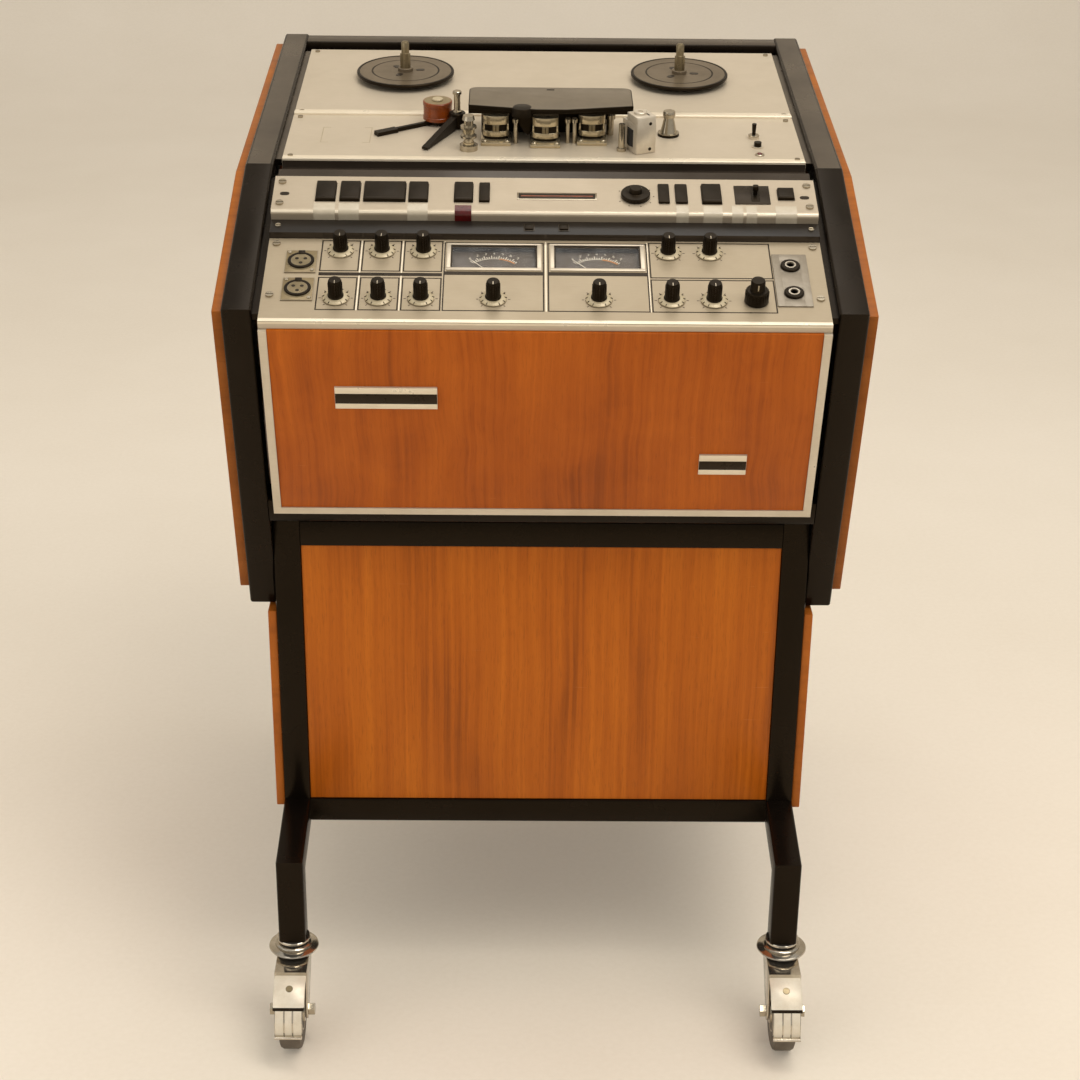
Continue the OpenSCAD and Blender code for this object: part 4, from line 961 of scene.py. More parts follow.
@dataclass
class HeadBlock:
    """Tape heads, head cover, roller, guides and pinch block on the head plate."""

    heads: tuple[Flat, ...] = ((-45.1, 76.0), (1.2, 71.0), (45.0, 79.0))
    head_half: float = 12.5
    foot_half: float = 14.0
    cover_x: float = 6.3
    cover_w: float = 154.0
    cover_z: Flat = (28.0, 36.5)
    cover_back: float = 122.0
    cover_round: float = 8.0
    hinge: Point = (46.6, 125.5, 31.0)
    brow: float = 3.9
    screen_x: Flat = (-59.0, 58.0)
    screen_h: float = 27.2
    screen_t: float = 1.6
    roller: Flat = (-101.3, 122.0)
    post_offset: Flat = (19.0, -12.0)
    cone: Flat = (118.5, 94.0)
    guide: Flat = (-70.2, 50.0)
    posts: tuple[Flat, ...] = ((-26.6, 68.0), (22.3, 70.0), (28.6, 70.0))
    block_at: Flat = (85.4, 38.0)
    block_turn: float = 25.0
    block_top: float = 27.5
    cap_top: float = 35.5

    def build(self) -> None:
        """Builds every piece of the head block."""
        self.cans()
        self.cover()
        self.drum()
        self.trim()
        self.block()

    def front(self, x: float, y: float, half: float, bow: float) -> list[Flat]:
        """Gives a head's outline from above, from its middle, half its width and the bow of its front."""
        return [(x - half, y + 9), *arc((x, y - 2.6), (half, bow), 180, 180, 8), (x + half, y + 9)]

    def cans(self) -> None:
        """Builds the three heads: foot, lower shell, dark gap with its pole piece, upper shell."""
        shape = Shape("tape_head_cans", Where.DECK)
        half = self.head_half
        for x, y in self.heads:
            shape.box((x - self.foot_half, y - 17, 0), (x + self.foot_half, y + 13, 3.4), Finish.HEAD, 0.6)
            for dx in (-10.5, 10.5):
                shape.lathe([(0, 1.8), (2.2, 1.8), (2.6, 1.4), (2.6, 0)], (x + dx, y - 13.4, 3.2),
                            Finish.STEEL, 20)
            shape.prism(self.front(x, y, half - 1.6, 5.2), 3.4, 6, Finish.BLACK)
            shape.prism(self.front(x, y, half, 6.4), 6, 11.4, Finish.HEAD, 0.5)
            shape.prism(self.front(x, y, half - 1.2, 5.4), 11.4, 17.6, Finish.BLACK)
            shape.prism(self.front(x, y, half, 6.4), 17.6, 26, Finish.HEAD, 0.5)
            shape.box((x - 3, y - 9, 11.2), (x + 3, y - 4, 17.8), Finish.BRASS, 0.4)
            for dx in (-3.6, -0.35, 2.9):
                shape.box((x + dx, y - 9.2, 11.6), (x + dx + 0.7, y - 5, 17.4), Finish.ENAMEL)
            for dx in (-half + 0.4, half - 2.6):
                shape.box((x + dx, y - 4.6, 11.2), (x + dx + 2.2, y + 4, 17.8), Finish.HEAD, 0.4)
        shape.done(replaces=["tape_heads"])
        # A black screen behind the heads under the cover: a backing that also stands in as painted shade for
        # the dark under the cover
        screen = Shape("head_screen_painted_shade", Where.DECK)
        left, right = self.screen_x
        screen.box((left, 99, 0), (right, 99 + self.screen_t, self.screen_h), Finish.BLACK, 0.4)
        for x in (left, right - self.screen_t):
            screen.box((x, 90, 0), (x + self.screen_t, 100, self.screen_h), Finish.BLACK, 0.4)
        screen.done()

    def plan(self, front: Sequence[Flat]) -> list[Flat]:
        """Gives the cover's outline from above: a given front and two rounded rear corners.

        Args:
            front: The front's corners, from left to right, measured from the cover's middle.

        Returns:
            The outline's corners.
        """
        r = self.cover_round
        reach = self.cover_w / 2 - r
        outline = list(front)
        for middle, start in ((reach, 0), (-reach, 90)):
            outline += arc((middle, self.cover_back - r), (r, r), start, 90, 6)
        return [(self.cover_x + x, y) for x, y in outline]

    def cover(self) -> None:
        """Builds the hinged cover: grey top over a black brow and skirt, screen flap and hinge knuckles."""
        shape = Shape("head_cover_shell", Where.DECK)
        half = self.cover_w / 2
        low, high = self.cover_z
        part = bmesh.new()
        face = part.faces.new([part.verts.new((x, y, low)) for x, y in self.plan([(-half, 70), (half, 70)])])
        grown = bmesh.ops.extrude_face_region(part, geom=[face])
        bmesh.ops.translate(part, vec=(0, 0, high - low - 1), verts=grown_verts(grown))
        bmesh.ops.recalc_face_normals(part, faces=part.faces)
        under = [f for f in part.faces if f.normal.z < -0.9]
        bmesh.ops.inset_region(part, faces=under, thickness=2.0, depth=-5.5, use_even_offset=True)
        shape.take(part, Finish.BLACK)
        brow = self.plan([(-half, 70), (-14, 58), (14, 58), (half, 70)])
        shape.prism(brow, high - self.brow, high - 0.3, Finish.BLACK, 0.4)
        top = [(self.cover_x + (x - self.cover_x) * 0.988, 91 + (y - 91) * 0.975) for x, y in brow]
        shape.prism(top, high - 0.6, high, Finish.COVER, 0.25)
        shape.box((self.cover_x - 3.6, 112.5, high - 0.2), (self.cover_x + 3.6, 116.5, high + 0.04),
                  Finish.ENAMEL)
        shape.lathe([(0, high + 0.5), (7, high + 0.4), (9, high - 0.1), (9.8, high - 1.2), (10, high - 8)],
                    (-20.5, 64.5, 0), Finish.BLACK, 40)
        flap = [(-32, 32), (-9, 32), (-11.6, 22), (-12.8, 9), (-15, 6.5), (-19, 9), (-25, 21)]
        shape.prism(flap, 0, 1.8, Finish.BLACK, 0.4, pose=spun((0, 74, 0), 90, "X"))
        reach, y, z = self.hinge
        for side in (-1, 1):
            x = self.cover_x + side * reach
            shape.rod((x - 5, y, z), (x + 5, y, z), 3, Finish.BLACK)
            shape.box((x - 5, y - 4.1, z - 2), (x + 5, y, z + 2), Finish.BLACK)
            shape.rod((x + side * 4, y, z), (x + side * 11, y, z), 1.45, Finish.STEEL, 12)
        shape.done("head_cover", ["head_cover"])

    def drum(self) -> None:
        """Builds the brown roller with its pale top."""
        shape = Shape("roller_drum", Where.DECK)
        at = (self.roller[0], self.roller[1], 0.0)
        shape.lathe([(3.2, 4.4), (13, 4.4), (14, 5.2), (14, 8), (13.6, 8.4), (13.6, 18.6), (14, 19),
                     (14, 22), (13.4, 22.7), (12.8, 22.8)], at, Finish.ROLLER, 56)
        shape.lathe([(12.8, 22.8), (4.4, 22.9), (4.2, 22.4), (3.2, 22.4)], at, Finish.SOCKET, 56)
        shape.done("counter_roller", ["counter_roller"])
        cap = Shape("roller_pin_cap", Where.DECK)
        cap.lathe([(2.9, 23.2), (5.2, 23.2), (5.2, 24.2), (4.6, 24.8), (0, 24.8)], at, Finish.CREAM, 32)
        cap.done()
        sleeve = Shape("tension_post_sleeve", Where.DECK)
        post = (self.roller[0] + self.post_offset[0], self.roller[1] + self.post_offset[1], 0)
        sleeve.lathe([(2.45, 15.4), (4.6, 15.4), (4.6, 17), (3.1, 17.6), (3.1, 33), (4.3, 33.4), (4.3, 35.6),
                      (3.6, 36.3), (0, 36.3)], post, Finish.STEEL, 32)
        sleeve.lathe([(7.2, 15.3), (7.8, 14.7), (7.8, 1.6), (7.2, 1)], post, Finish.BLACK, 36)
        sleeve.done("tension_arm")

    def trim(self) -> None:
        """Builds the rings and caps of the guides."""
        guide = Shape("guide_trim", Where.DECK)
        x, y = self.cone
        guide.lathe([(10.2, 0), (10.2, 2.4), (8.6, 2.8), (8.4, 2.4)], (x, y, 0), Finish.BLACK, 40)
        guide.lathe([(5.7, 19), (5.9, 19.4), (5.9, 22.6), (5.2, 23.8), (0, 23.8)], (x, y, 0), Finish.STEEL,
                    32)
        for x, y in self.posts:
            guide.lathe([(2.05, 20), (2.9, 20.2), (2.9, 23.6), (2.2, 24.3), (0, 24.3)], (x, y, 0),
                        Finish.STEEL, 20)
        x, y = self.guide
        guide.lathe([(4.6, 5.1), (5.3, 5.4), (5.3, 7.4), (4.55, 7.8)], (x, y, 0), Finish.HEAD, 32)
        guide.lathe([(4.55, 16), (5.6, 16.3), (5.6, 20.2), (4.55, 20.6)], (x, y, 0), Finish.HEAD, 32)
        guide.done()

    def block(self) -> None:
        """Builds the pinch block's cap, boss, face plate and screws."""
        shape = Shape("pinch_block_cap", Where.DECK)
        pose = spun((*self.block_at, 0), self.block_turn)
        top = self.cap_top
        shape.box((0.2, 0.2, self.block_top - 0.2), (19.8, 20.5, top), Finish.BLOCK, 0.7, pose=pose)
        shape.box((0.6, -0.3, 0.9), (19.4, 0.5, top - 0.8), Finish.BLOCK, 0.25, pose=pose)
        for x, z in ((14, 4.2), (14, top - 7)):
            spots = [pose @ Vector((x, y, z)) for y in (-0.55, 0.4)]
            shape.rod(tuple(spots[0]), tuple(spots[1]), 1.7, Finish.ENAMEL, 20)
        boss = pose @ Vector((9, 11, top - 0.2))
        shape.lathe([(0, 1.2), (2.4, 1.2), (2.6, 2.6), (5.4, 2.6), (6, 2), (6, 0)], tuple(boss),
                    Finish.BLOCK, 36)
        shape.box((13.6, 3, top - 0.3), (15.2, 15, top + 0.25), Finish.ENAMEL, 0.2, pose=pose)
        shape.done("pinch_arm")


@dataclass
class Keyboard:
    """Keys, rockers, lenses, selector, lever plate and window on the raised panel."""

    row: float = 163.0
    keys: tuple[tuple[str, float, float, float, float], ...] = (
        ("rewind", -194.4, 163, 17.6, 29), ("wind", -172.9, 163, 17.6, 29), ("play", -142.2, 163, 37, 29),
        ("stop", -112.3, 163, 17, 29), ("record", -72.2, 163, 16.5, 29), ("cue", 148.2, 163, 17.4, 29),
        ("power", 214.6, 164, 14.6, 16.5))
    rockers: tuple[Flat, ...] = ((-53.7, 9.7), (105.7, 10.0), (121.3, 11.0))
    lenses: tuple[Flat, ...] = ((-194.4, 19.0), (-172.9, 18.0), (-112.3, 18.0), (121.3, 11.0), (148.2, 17.0),
                                (170.0, 10.0), (182.5, 9.5), (213.0, 19.0))
    lip_y: float = 133.0
    lip_r: float = 4.0
    slot_x: Flat = (-24.8, 46.2)
    lever_x: float = 187.2
    selector_at: Flat = (80.5, 160.0)
    rack_x: float = 231.0
    red_x: Flat = (-79.5, -64.9)
    marks: int = 9
    ribs: int = 28

    def build(self) -> None:
        """Builds every piece of the keyboard."""
        for name, x, y, w, h in self.keys:
            shape = Shape(f"key_cap_{name}", Where.KEYS)
            shape.box((x - w / 2, y - h / 2, -4.5), (x + w / 2, y + h / 2, 3), Finish.BLACK, 1.1, segments=3)
            shape.box((x - w / 2 + 1.6, y - h / 2 + 2.4, 2.6), (x + w / 2 - 1.6, y - h / 2 + 3.2, 3.12),
                      Finish.ENAMEL)
            shape.box((x - 3, y - 3, -21), (x + 3, y + 3, -4), Finish.BLACK)
            shape.done(f"key_{name}", [f"key_{name}"])
        self.fixed()
        self.selector()

    def fixed(self) -> None:
        """Builds the pieces that stay on the panel."""
        shape = Shape("keyboard_fittings", Where.KEYS)
        for x, w in self.rockers:
            shape.box((x - w / 2, self.row - 14.5, -0.4), (x + w / 2, self.row + 14.5, 2.4), Finish.BLACK,
                      0.9)
        for x, w in self.lenses:
            shape.prism(self.lip(0.3, -9, 146), x - w / 2, x + w / 2, Finish.LENS, across=True)
        shape.prism(self.lip(0.7, -9.4, 143), *self.red_x, Finish.RED, across=True)
        # A bright strip along the lip's bend: a painted highlight
        bend = (self.lip_y + self.lip_r, -self.lip_r)
        outer, inner = [arc(bend, (r, r), 150, -35, 5) for r in (self.lip_r + 0.12, self.lip_r - 0.4)]
        painted_highlight = outer + inner[::-1]
        half = Rake.PANEL_W / 2 - 0.3
        shape.prism(painted_highlight, -half, half, Finish.NOSE, across=True)
        left, right = self.slot_x
        shape.box((left, 153.2, -0.3), (right, 164.6, 0.35), Finish.STEEL, 0.3)
        shape.box((left + 1.4, 154.8, 0), (right - 1.4, 163, 0.5), Finish.ENAMEL, 0.2)
        shape.box((left + 3.5, 158, 0.3), (right - 3.5, 159.6, 0.62), Finish.ROLLER)
        x = self.lever_x
        shape.box((x - 18.5, 148.6, -0.3), (x + 13, 177.6, 0.8), Finish.ENAMEL, 0.5)
        shape.box((x - 3.8, 152.5, 0.6), (x + 3.8, 175.5, 1.1), Finish.BLACK, 0.4)
        for end in (-self.rack_x, self.rack_x):
            shape.box((end - 4.2, 157.4, -0.2), (end + 4.2, 162.6, 0.15), Finish.ENAMEL, 2.2, "Z")
        for spot in arc(self.selector_at, (16.2, 16.2), 150, -300, self.marks - 1):
            shape.lathe([(0, 0.1), (0.6, 0.1), (0.6, 0)], (*spot, 0.1), Finish.ENAMEL, 10)
        shape.done()
        lever = Shape("lever_cap", Where.KEYS)
        lever.box((x - 2.6, 161.6, 5), (x + 2.6, 166.4, 10), Finish.BLACK, 1.2)
        lever.done("lever_switch")

    def lip(self, out: float, foot: float, back: float) -> list[Flat]:
        """Gives the outline of a thin sheet that wraps the panel's rounded lip.

        Args:
            out: How far it stands out.
            foot: Its lower end on the lip.
            back: Its end on the panel's face.

        Returns:
            The outline's corners, across the lip.
        """
        bend = (self.lip_y + self.lip_r, -self.lip_r)
        outer, inner = [arc(bend, (r, r), 180, -90, 6) for r in (self.lip_r + out, self.lip_r - 0.5)]
        return [(outer[0][0], foot), *outer, (back, out), (back, -0.5), *inner[::-1], (inner[0][0], foot)]

    def selector(self) -> None:
        """Builds the round selector with its raised boss and pointer."""
        shape = Shape("selector_disc", Where.KEYS)
        at = (self.selector_at[0], self.selector_at[1], 0.0)
        shape.lathe([(3, -20), (3, 0.4), (12.4, 0.4), (13, 1), (13, 3.4), (12.2, 4.3), (7, 4.5), (6, 5),
                     (5.5, 8.4), (4.7, 9.2), (0, 9.2)], at, Finish.BLACK, 56)
        for i in range(self.ribs):
            shape.box((12.2, -0.5, 0.8), (13.0, 0.5, 3.4), Finish.ENAMEL, pose=spun(at, 360 * i / self.ribs))
        shape.box((at[0] - 0.5, at[1] + 5, 4.2), (at[0] + 0.5, at[1] + 11.6, 4.75), Finish.WHITE)
        shape.done("selector_knob", ["selector_knob"])


@dataclass
class Preamp:
    """Knobs, meters, module lines and socket faces of the preamplifier panel."""

    rows: Flat = (25.5, 94.5)
    pitch: float = 36.0
    left: float = -177.8
    right: float = 107.2
    meters: Flat = (-44.4, 45.4)
    meter_w: float = 75.0
    meter_y: Flat = (70.0, 104.0)
    pivot_y: float = 67.0
    needle_rest: float = 42.0
    lip: float = 8.0
    columns: tuple[Flat, ...] = ((-194.8, -160.8), (-158.8, -124.8), (-122.8, -88.8))
    seams: tuple[float, ...] = (-159.8, -123.8, -87.4, 0.5, 89.0)
    low_frame: Flat = (8.5, 55.5)
    high_frame: Flat = (64.4, 110.0)
    meter_half: float = 43.4
    output_x: Flat = (90.2, 196.4)
    bezel_w: float = 3.6
    card_z: float = -6.6
    needle_z: float = -5.6
    tick_r: float = 27.3
    number_r: float = 34.2
    arc_r: float = 26.6
    mic_x: float = -211.0
    mic_ys: Flat = (37.0, 77.0)
    jack_x: float = 212.0
    jack_ys: Flat = (35.5, 74.5)
    jack_plate: Flat = (17.4, 92.6)

    def places(self) -> list[tuple[str, float, float]]:
        """Gives each knob's name and place.

        Returns:
            Name, X and Y of every knob but the dual one.
        """
        low, high = self.rows
        found = [(f"in_{i + 1}", self.left + i * self.pitch, high) for i in range(3)]
        found += [(f"mix_{i + 1}", self.left + i * self.pitch, low) for i in range(3)]
        found += [(f"meter_{i + 1}", x, low) for i, x in enumerate(self.meters)]
        found += [(f"out_{i + 1}", self.right + i * self.pitch, high) for i in range(2)]
        found += [(f"tone_{i + 1}", self.right + i * self.pitch, low) for i in range(2)]
        return found

    def build(self) -> None:
        """Builds every piece of the preamplifier."""
        for name, x, y in self.places():
            self.knob(name, x, y)
        self.dual(self.right + 2 * self.pitch, self.rows[0])
        self.lines()
        self.dials()
        self.sockets()
        self.nose()

    def knob(self, name: str, x: float, y: float) -> None:
        """Builds a knob: cream skirt with ticks, fluted black barrel, grey line.

        Args:
            name: Name of the knob.
            x: Its place across.
            y: Its place up the slope.
        """
        shape = Shape(f"knob_{name}_turned", Where.PREAMP)
        at = (x, y, 0.0)
        shape.lathe([(3, -14), (3, 0.4), (11, 0.4), (11.5, 0.8), (11.4, 1.4), (9.4, 2.7), (6.6, 2.8)], at,
                    Finish.CREAM, 48)
        shape.lathe([(6.9, 2.7), (6.9, 3.6), (6.3, 4.2), (5.6, 18.2), (4.9, 19.2), (0, 19.3)], at,
                    Finish.BLACK, 48)
        for i in range(18):
            shape.box((4.9, -0.42, 4.4), (6.25, 0.42, 16), Finish.BLACK, 0.3, "Z", spun(at, 20 * i + 10))
        lean = spun((0, 0, 0.3), 22, "Y") @ Matrix.Translation((-0.6, 0, 3.2))
        for i in range(11):
            shape.box((8.6, -0.25, 2.2), (10.8, 0.25, 2.75), Finish.ENAMEL,
                      pose=spun(at, 240 - 30 * i) @ lean)
        shape.box((x - 0.35, y - 6.5, 4), (x + 0.35, y - 4.8, 17.6), Finish.ENAMEL)
        shape.box((x - 0.35, y - 4.9, 19), (x + 0.35, y - 1, 19.4), Finish.STEEL)
        shape.done(f"knob_{name}", [f"knob_{name}"])

    def dual(self, x: float, y: float) -> None:
        """Builds the dual knob.

        Args:
            x: Its place across.
            y: Its place up the slope.
        """
        shape = Shape("knob_dual_turned", Where.PREAMP)
        at = (x, y, 0.0)
        shape.lathe([(3, -14), (3, 0.4), (10.2, 0.4), (10.5, 0.9), (9.6, 11.4), (8.8, 12.2), (6.6, 12.3),
                     (6.4, 12.6), (6.1, 21), (5.4, 22), (0, 22)], at, Finish.BLACK, 48)
        for i in range(24):
            shape.box((9, -0.45, 1.4), (10.3, 0.45, 10.4), Finish.BLACK, 0.3, "Z", spun(at, 15 * i))
        shape.box((x - 0.5, y - 6.3, 13.4), (x + 0.5, y - 5, 20.6), Finish.STEEL)
        shape.done("knob_dual", ["knob_dual"])

    def outline(self, shape: Shape, left: float, right: float, low: float, high: float,
                width: float = 1.2) -> None:
        """Adds a thin outline.

        Args:
            shape: The piece that gets it.
            left: Its left edge.
            right: Its right edge.
            low: Its lower edge.
            high: Its upper edge.
            width: Width of the line.
        """
        for a, b in (((left, low), (right, low + width)), ((left, high - width), (right, high)),
                     ((left, low), (left + width, high)), ((right - width, low), (right, high))):
            shape.box((a[0], a[1], -0.2), (b[0], b[1], 0.12), Finish.ENAMEL)

    def lines(self) -> None:
        """Builds the dark lines between the modules and the ticks round the knobs."""
        shape = Shape("module_lines", Where.PREAMP)
        bottom, top = self.low_frame[0], self.high_frame[1]
        for left, right in self.columns:
            self.outline(shape, left, right, *self.low_frame)
            self.outline(shape, left, right, *self.high_frame)
        shape.box((self.columns[0][0], 58, -0.2), (self.columns[-1][1], 62.4, 0.14), Finish.ENAMEL)
        for edge in self.seams:
            shape.box((edge - 0.55, bottom, -0.2), (edge + 0.55, top, 0.1), Finish.NOSE)
        for x in self.meters:
            left, right = x - self.meter_half, x + self.meter_half
            self.outline(shape, left, right, bottom, 61.4)
            self.outline(shape, left, right, 64, 108.4)
            shape.box((left, 60.4, -0.2), (right, 64.6, 0.14), Finish.ENAMEL)
        self.outline(shape, *self.output_x, *self.low_frame)
        self.outline(shape, *self.output_x, 57.5, top)
        for _, x, y in self.places():
            for angle in range(-135, 136, 45):
                if y + 14.6 * math.cos(math.radians(angle)) < top - 1:
                    shape.box((-0.3, 12.6, -0.2), (0.3, 14.6, 0.1), Finish.ENAMEL,
                              pose=spun((x, y, 0), -angle))
        shape.done()

    def dials(self) -> None:
        """Builds the meters: bezel, black card with plain numbers, and pane."""
        bezel = Shape("meter_bezels", Where.PREAMP)
        dial = Shape("meter_cards", Where.PREAMP)
        pane = Shape("meter_panes", Where.PREAMP)
        low, high = self.meter_y
        half = self.meter_w / 2
        wide = half + self.bezel_w
        sides = ((-wide, low - self.bezel_w, wide, low), (-wide, high, wide, high + 2),
                 (-wide, low, -half, high), (half, low, wide, high))
        for x in self.meters:
            for left, bottom, right, top in sides:
                bezel.box((x + left, bottom, -0.1), (x + right, top, 1.2), Finish.TRIM, 0.3)
            self.outline(bezel, x - half, x + half, low, high, 1.3)
            bezel.box((x - half - 3, self.pivot_y - 6, -28), (x + half + 3, high + 2, self.card_z - 0.6),
                      Finish.BLACK)
            dial.box((x - half, self.pivot_y - 4, self.card_z - 0.6), (x + half, high, self.card_z),
                     Finish.DIAL)
            self.scale(dial, x)
            pane.box((x - half, low, -1.5), (x + half, high, -0.6), Finish.PANE)
            self.needle("left" if x < 0 else "right", x)
        bezel.done(replaces=["meter_cases"])
        dial.done()
        pane.done()

    def needle(self, side: str, x: float) -> None:
        """Builds a meter's needle: a fine blade on a round hub.

        Args:
            side: Which meter it is in.
            x: Middle of the meter.
        """
        shape = Shape(f"needle_{side}_blade", Where.PREAMP)
        at = (x, self.pivot_y, self.needle_z)
        shape.box((-0.28, 1, 0.65), (0.28, 32.8, 1.1), Finish.WHITE, 0.1, pose=spun(at, self.needle_rest))
        shape.lathe([(0.95, 0.1), (2.2, 0.1), (2.4, 0.4), (2.2, 1.2), (0.95, 1.2), (0.95, 0.1)], at,
                    Finish.BLACK, 24)
        shape.done(f"needle_{side}", [f"needle_{side}"])

    def scale(self, dial: Shape, x: float) -> None:
        """Adds a meter's ticks, numbers and arc.

        Args:
            dial: The card's piece.
            x: Middle of the meter.
        """
        at = (x, self.pivot_y, self.card_z)
        start, sweep = self.needle_rest, 2 * self.needle_rest
        for i in range(21):
            outer = self.tick_r + (4.0 if i % 3 == 0 else 2.2)
            dial.box((-0.4, self.tick_r, -0.05), (0.4, outer, 0.06), Finish.WHITE,
                     pose=spun(at, start - sweep * i / 20))
        for i in range(7):
            turn = math.radians(start - sweep * (3 * i + 1) / 20)
            spot = Vector(at) + Vector((-math.sin(turn) * self.number_r, math.cos(turn) * self.number_r,
                                        0.08))
            dial.words(str(i + 1), tuple(spot), 4.4, Finish.WHITE)
        for i in range(24):
            finish, half = (Finish.ORANGE, 0.7) if i >= 15 else (Finish.WHITE, 0.25)
            dial.box((-0.95, self.arc_r - half, -0.05), (0.95, self.arc_r + half, 0.06), finish,
                     pose=spun(at, start - sweep * (i + 0.5) / 24))

    def sockets(self) -> None:
        """Builds the faces of the microphone sockets and the jacks."""
        shape = Shape("socket_faces", Where.PREAMP)
        x = self.mic_x
        for y in self.mic_ys:
            shape.box((x - 13.5, y - 16, -0.1), (x + 13.5, y + 16, 1.3), Finish.SOCKET, 0.5)
            shape.lathe([(8.6, 2.5), (9.0, 3.0), (10.9, 3.0), (11.5, 2.5), (11.6, 1.2)], (x, y, 0),
                        Finish.BLACK, 40)
            shape.lathe([(11.6, 1.2), (12.6, 1.2), (12.6, 1.7), (11.6, 1.8)], (x, y, 0), Finish.BRASS, 40)
            shape.lathe([(0, 2.66), (8.5, 2.66), (8.6, 2.4)], (x, y, 0), Finish.BRASS, 40)
            for spot in arc((x, y), (4.2, 4.2), 30, 240, 2):
                shape.lathe([(0, 2.72), (1.7, 2.72), (1.7, 2.4)], (*spot, 0), Finish.ENAMEL, 16)
            shape.box((x - 3, y + 8.2, 1.2), (x + 3, y + 13.6, 3.3), Finish.BLACK, 0.6)
            for dx, dy in ((-10.5, 13), (10.5, -13)):
                shape.lathe([(0, 1), (1.5, 1), (1.8, 0.7), (1.8, 0)], (x + dx, y + dy, 1.2), Finish.STEEL,
                            16)
        x = self.jack_x
        foot, head = self.jack_plate
        for left, right, low, high in ((-15.1, -8.4, foot, head), (8.4, 15.1, foot, head), (-9, 9, foot, 27),
                                       (-9, 9, 44, 66), (-9, 9, 83, head)):
            shape.box((x + left, low, -0.1), (x + right, high, 1.4), Finish.JACK, 0.4)
        for y in self.jack_ys:
            shape.lathe([(5, 3.15), (5.2, 3.5), (7.8, 3.5), (8.5, 2.9), (8.6, 1.3), (5, 1.3), (5, 3.15)],
                        (x, y, 0), Finish.BLACK, 40)
            shape.lathe([(3.3, 3.1), (3.5, 3.7), (4.9, 3.7), (5.1, 3.3), (5.1, 2.8), (3.3, 2.8), (3.3, 3.1)],
                        (x, y, 0), Finish.CHROME, 32)
            shape.lathe([(2.6, -6), (2.6, 3.0), (3.15, 3.1), (3.15, -6), (2.6, -6)], (x, y, 0), Finish.BLACK,
                        32)
        shape.done()

    def nose(self) -> None:
        """Builds a painted highlight along the bend, and a face of paler panel sheet over the folded front
        that paints it lighter.
        """
        half = Rake.PANEL_W / 2 - 0.2
        shape = Shape("preamp_front_edge", Where.PREAMP)
        y = -self.lip
        # A bright strip along the bend: a painted highlight
        shape.prism([(y - 0.15, -2.4), (y - 0.25, -0.9), (y + 0.3, -0.05), (y + 1.4, 0.16), (y + 4.6, 0.04),
                     (y + 4.6, -1), (y + 1, -2.4)], -half, half, Finish.NOSE, across=True)
        # Paler panel sheet over the fold's front face: painted light, lighter than the panel's own finish
        shape.box((-half, y - 0.12, -7.4), (half, y + 0.2, -2.2), Finish.PANEL)
        shape.done()


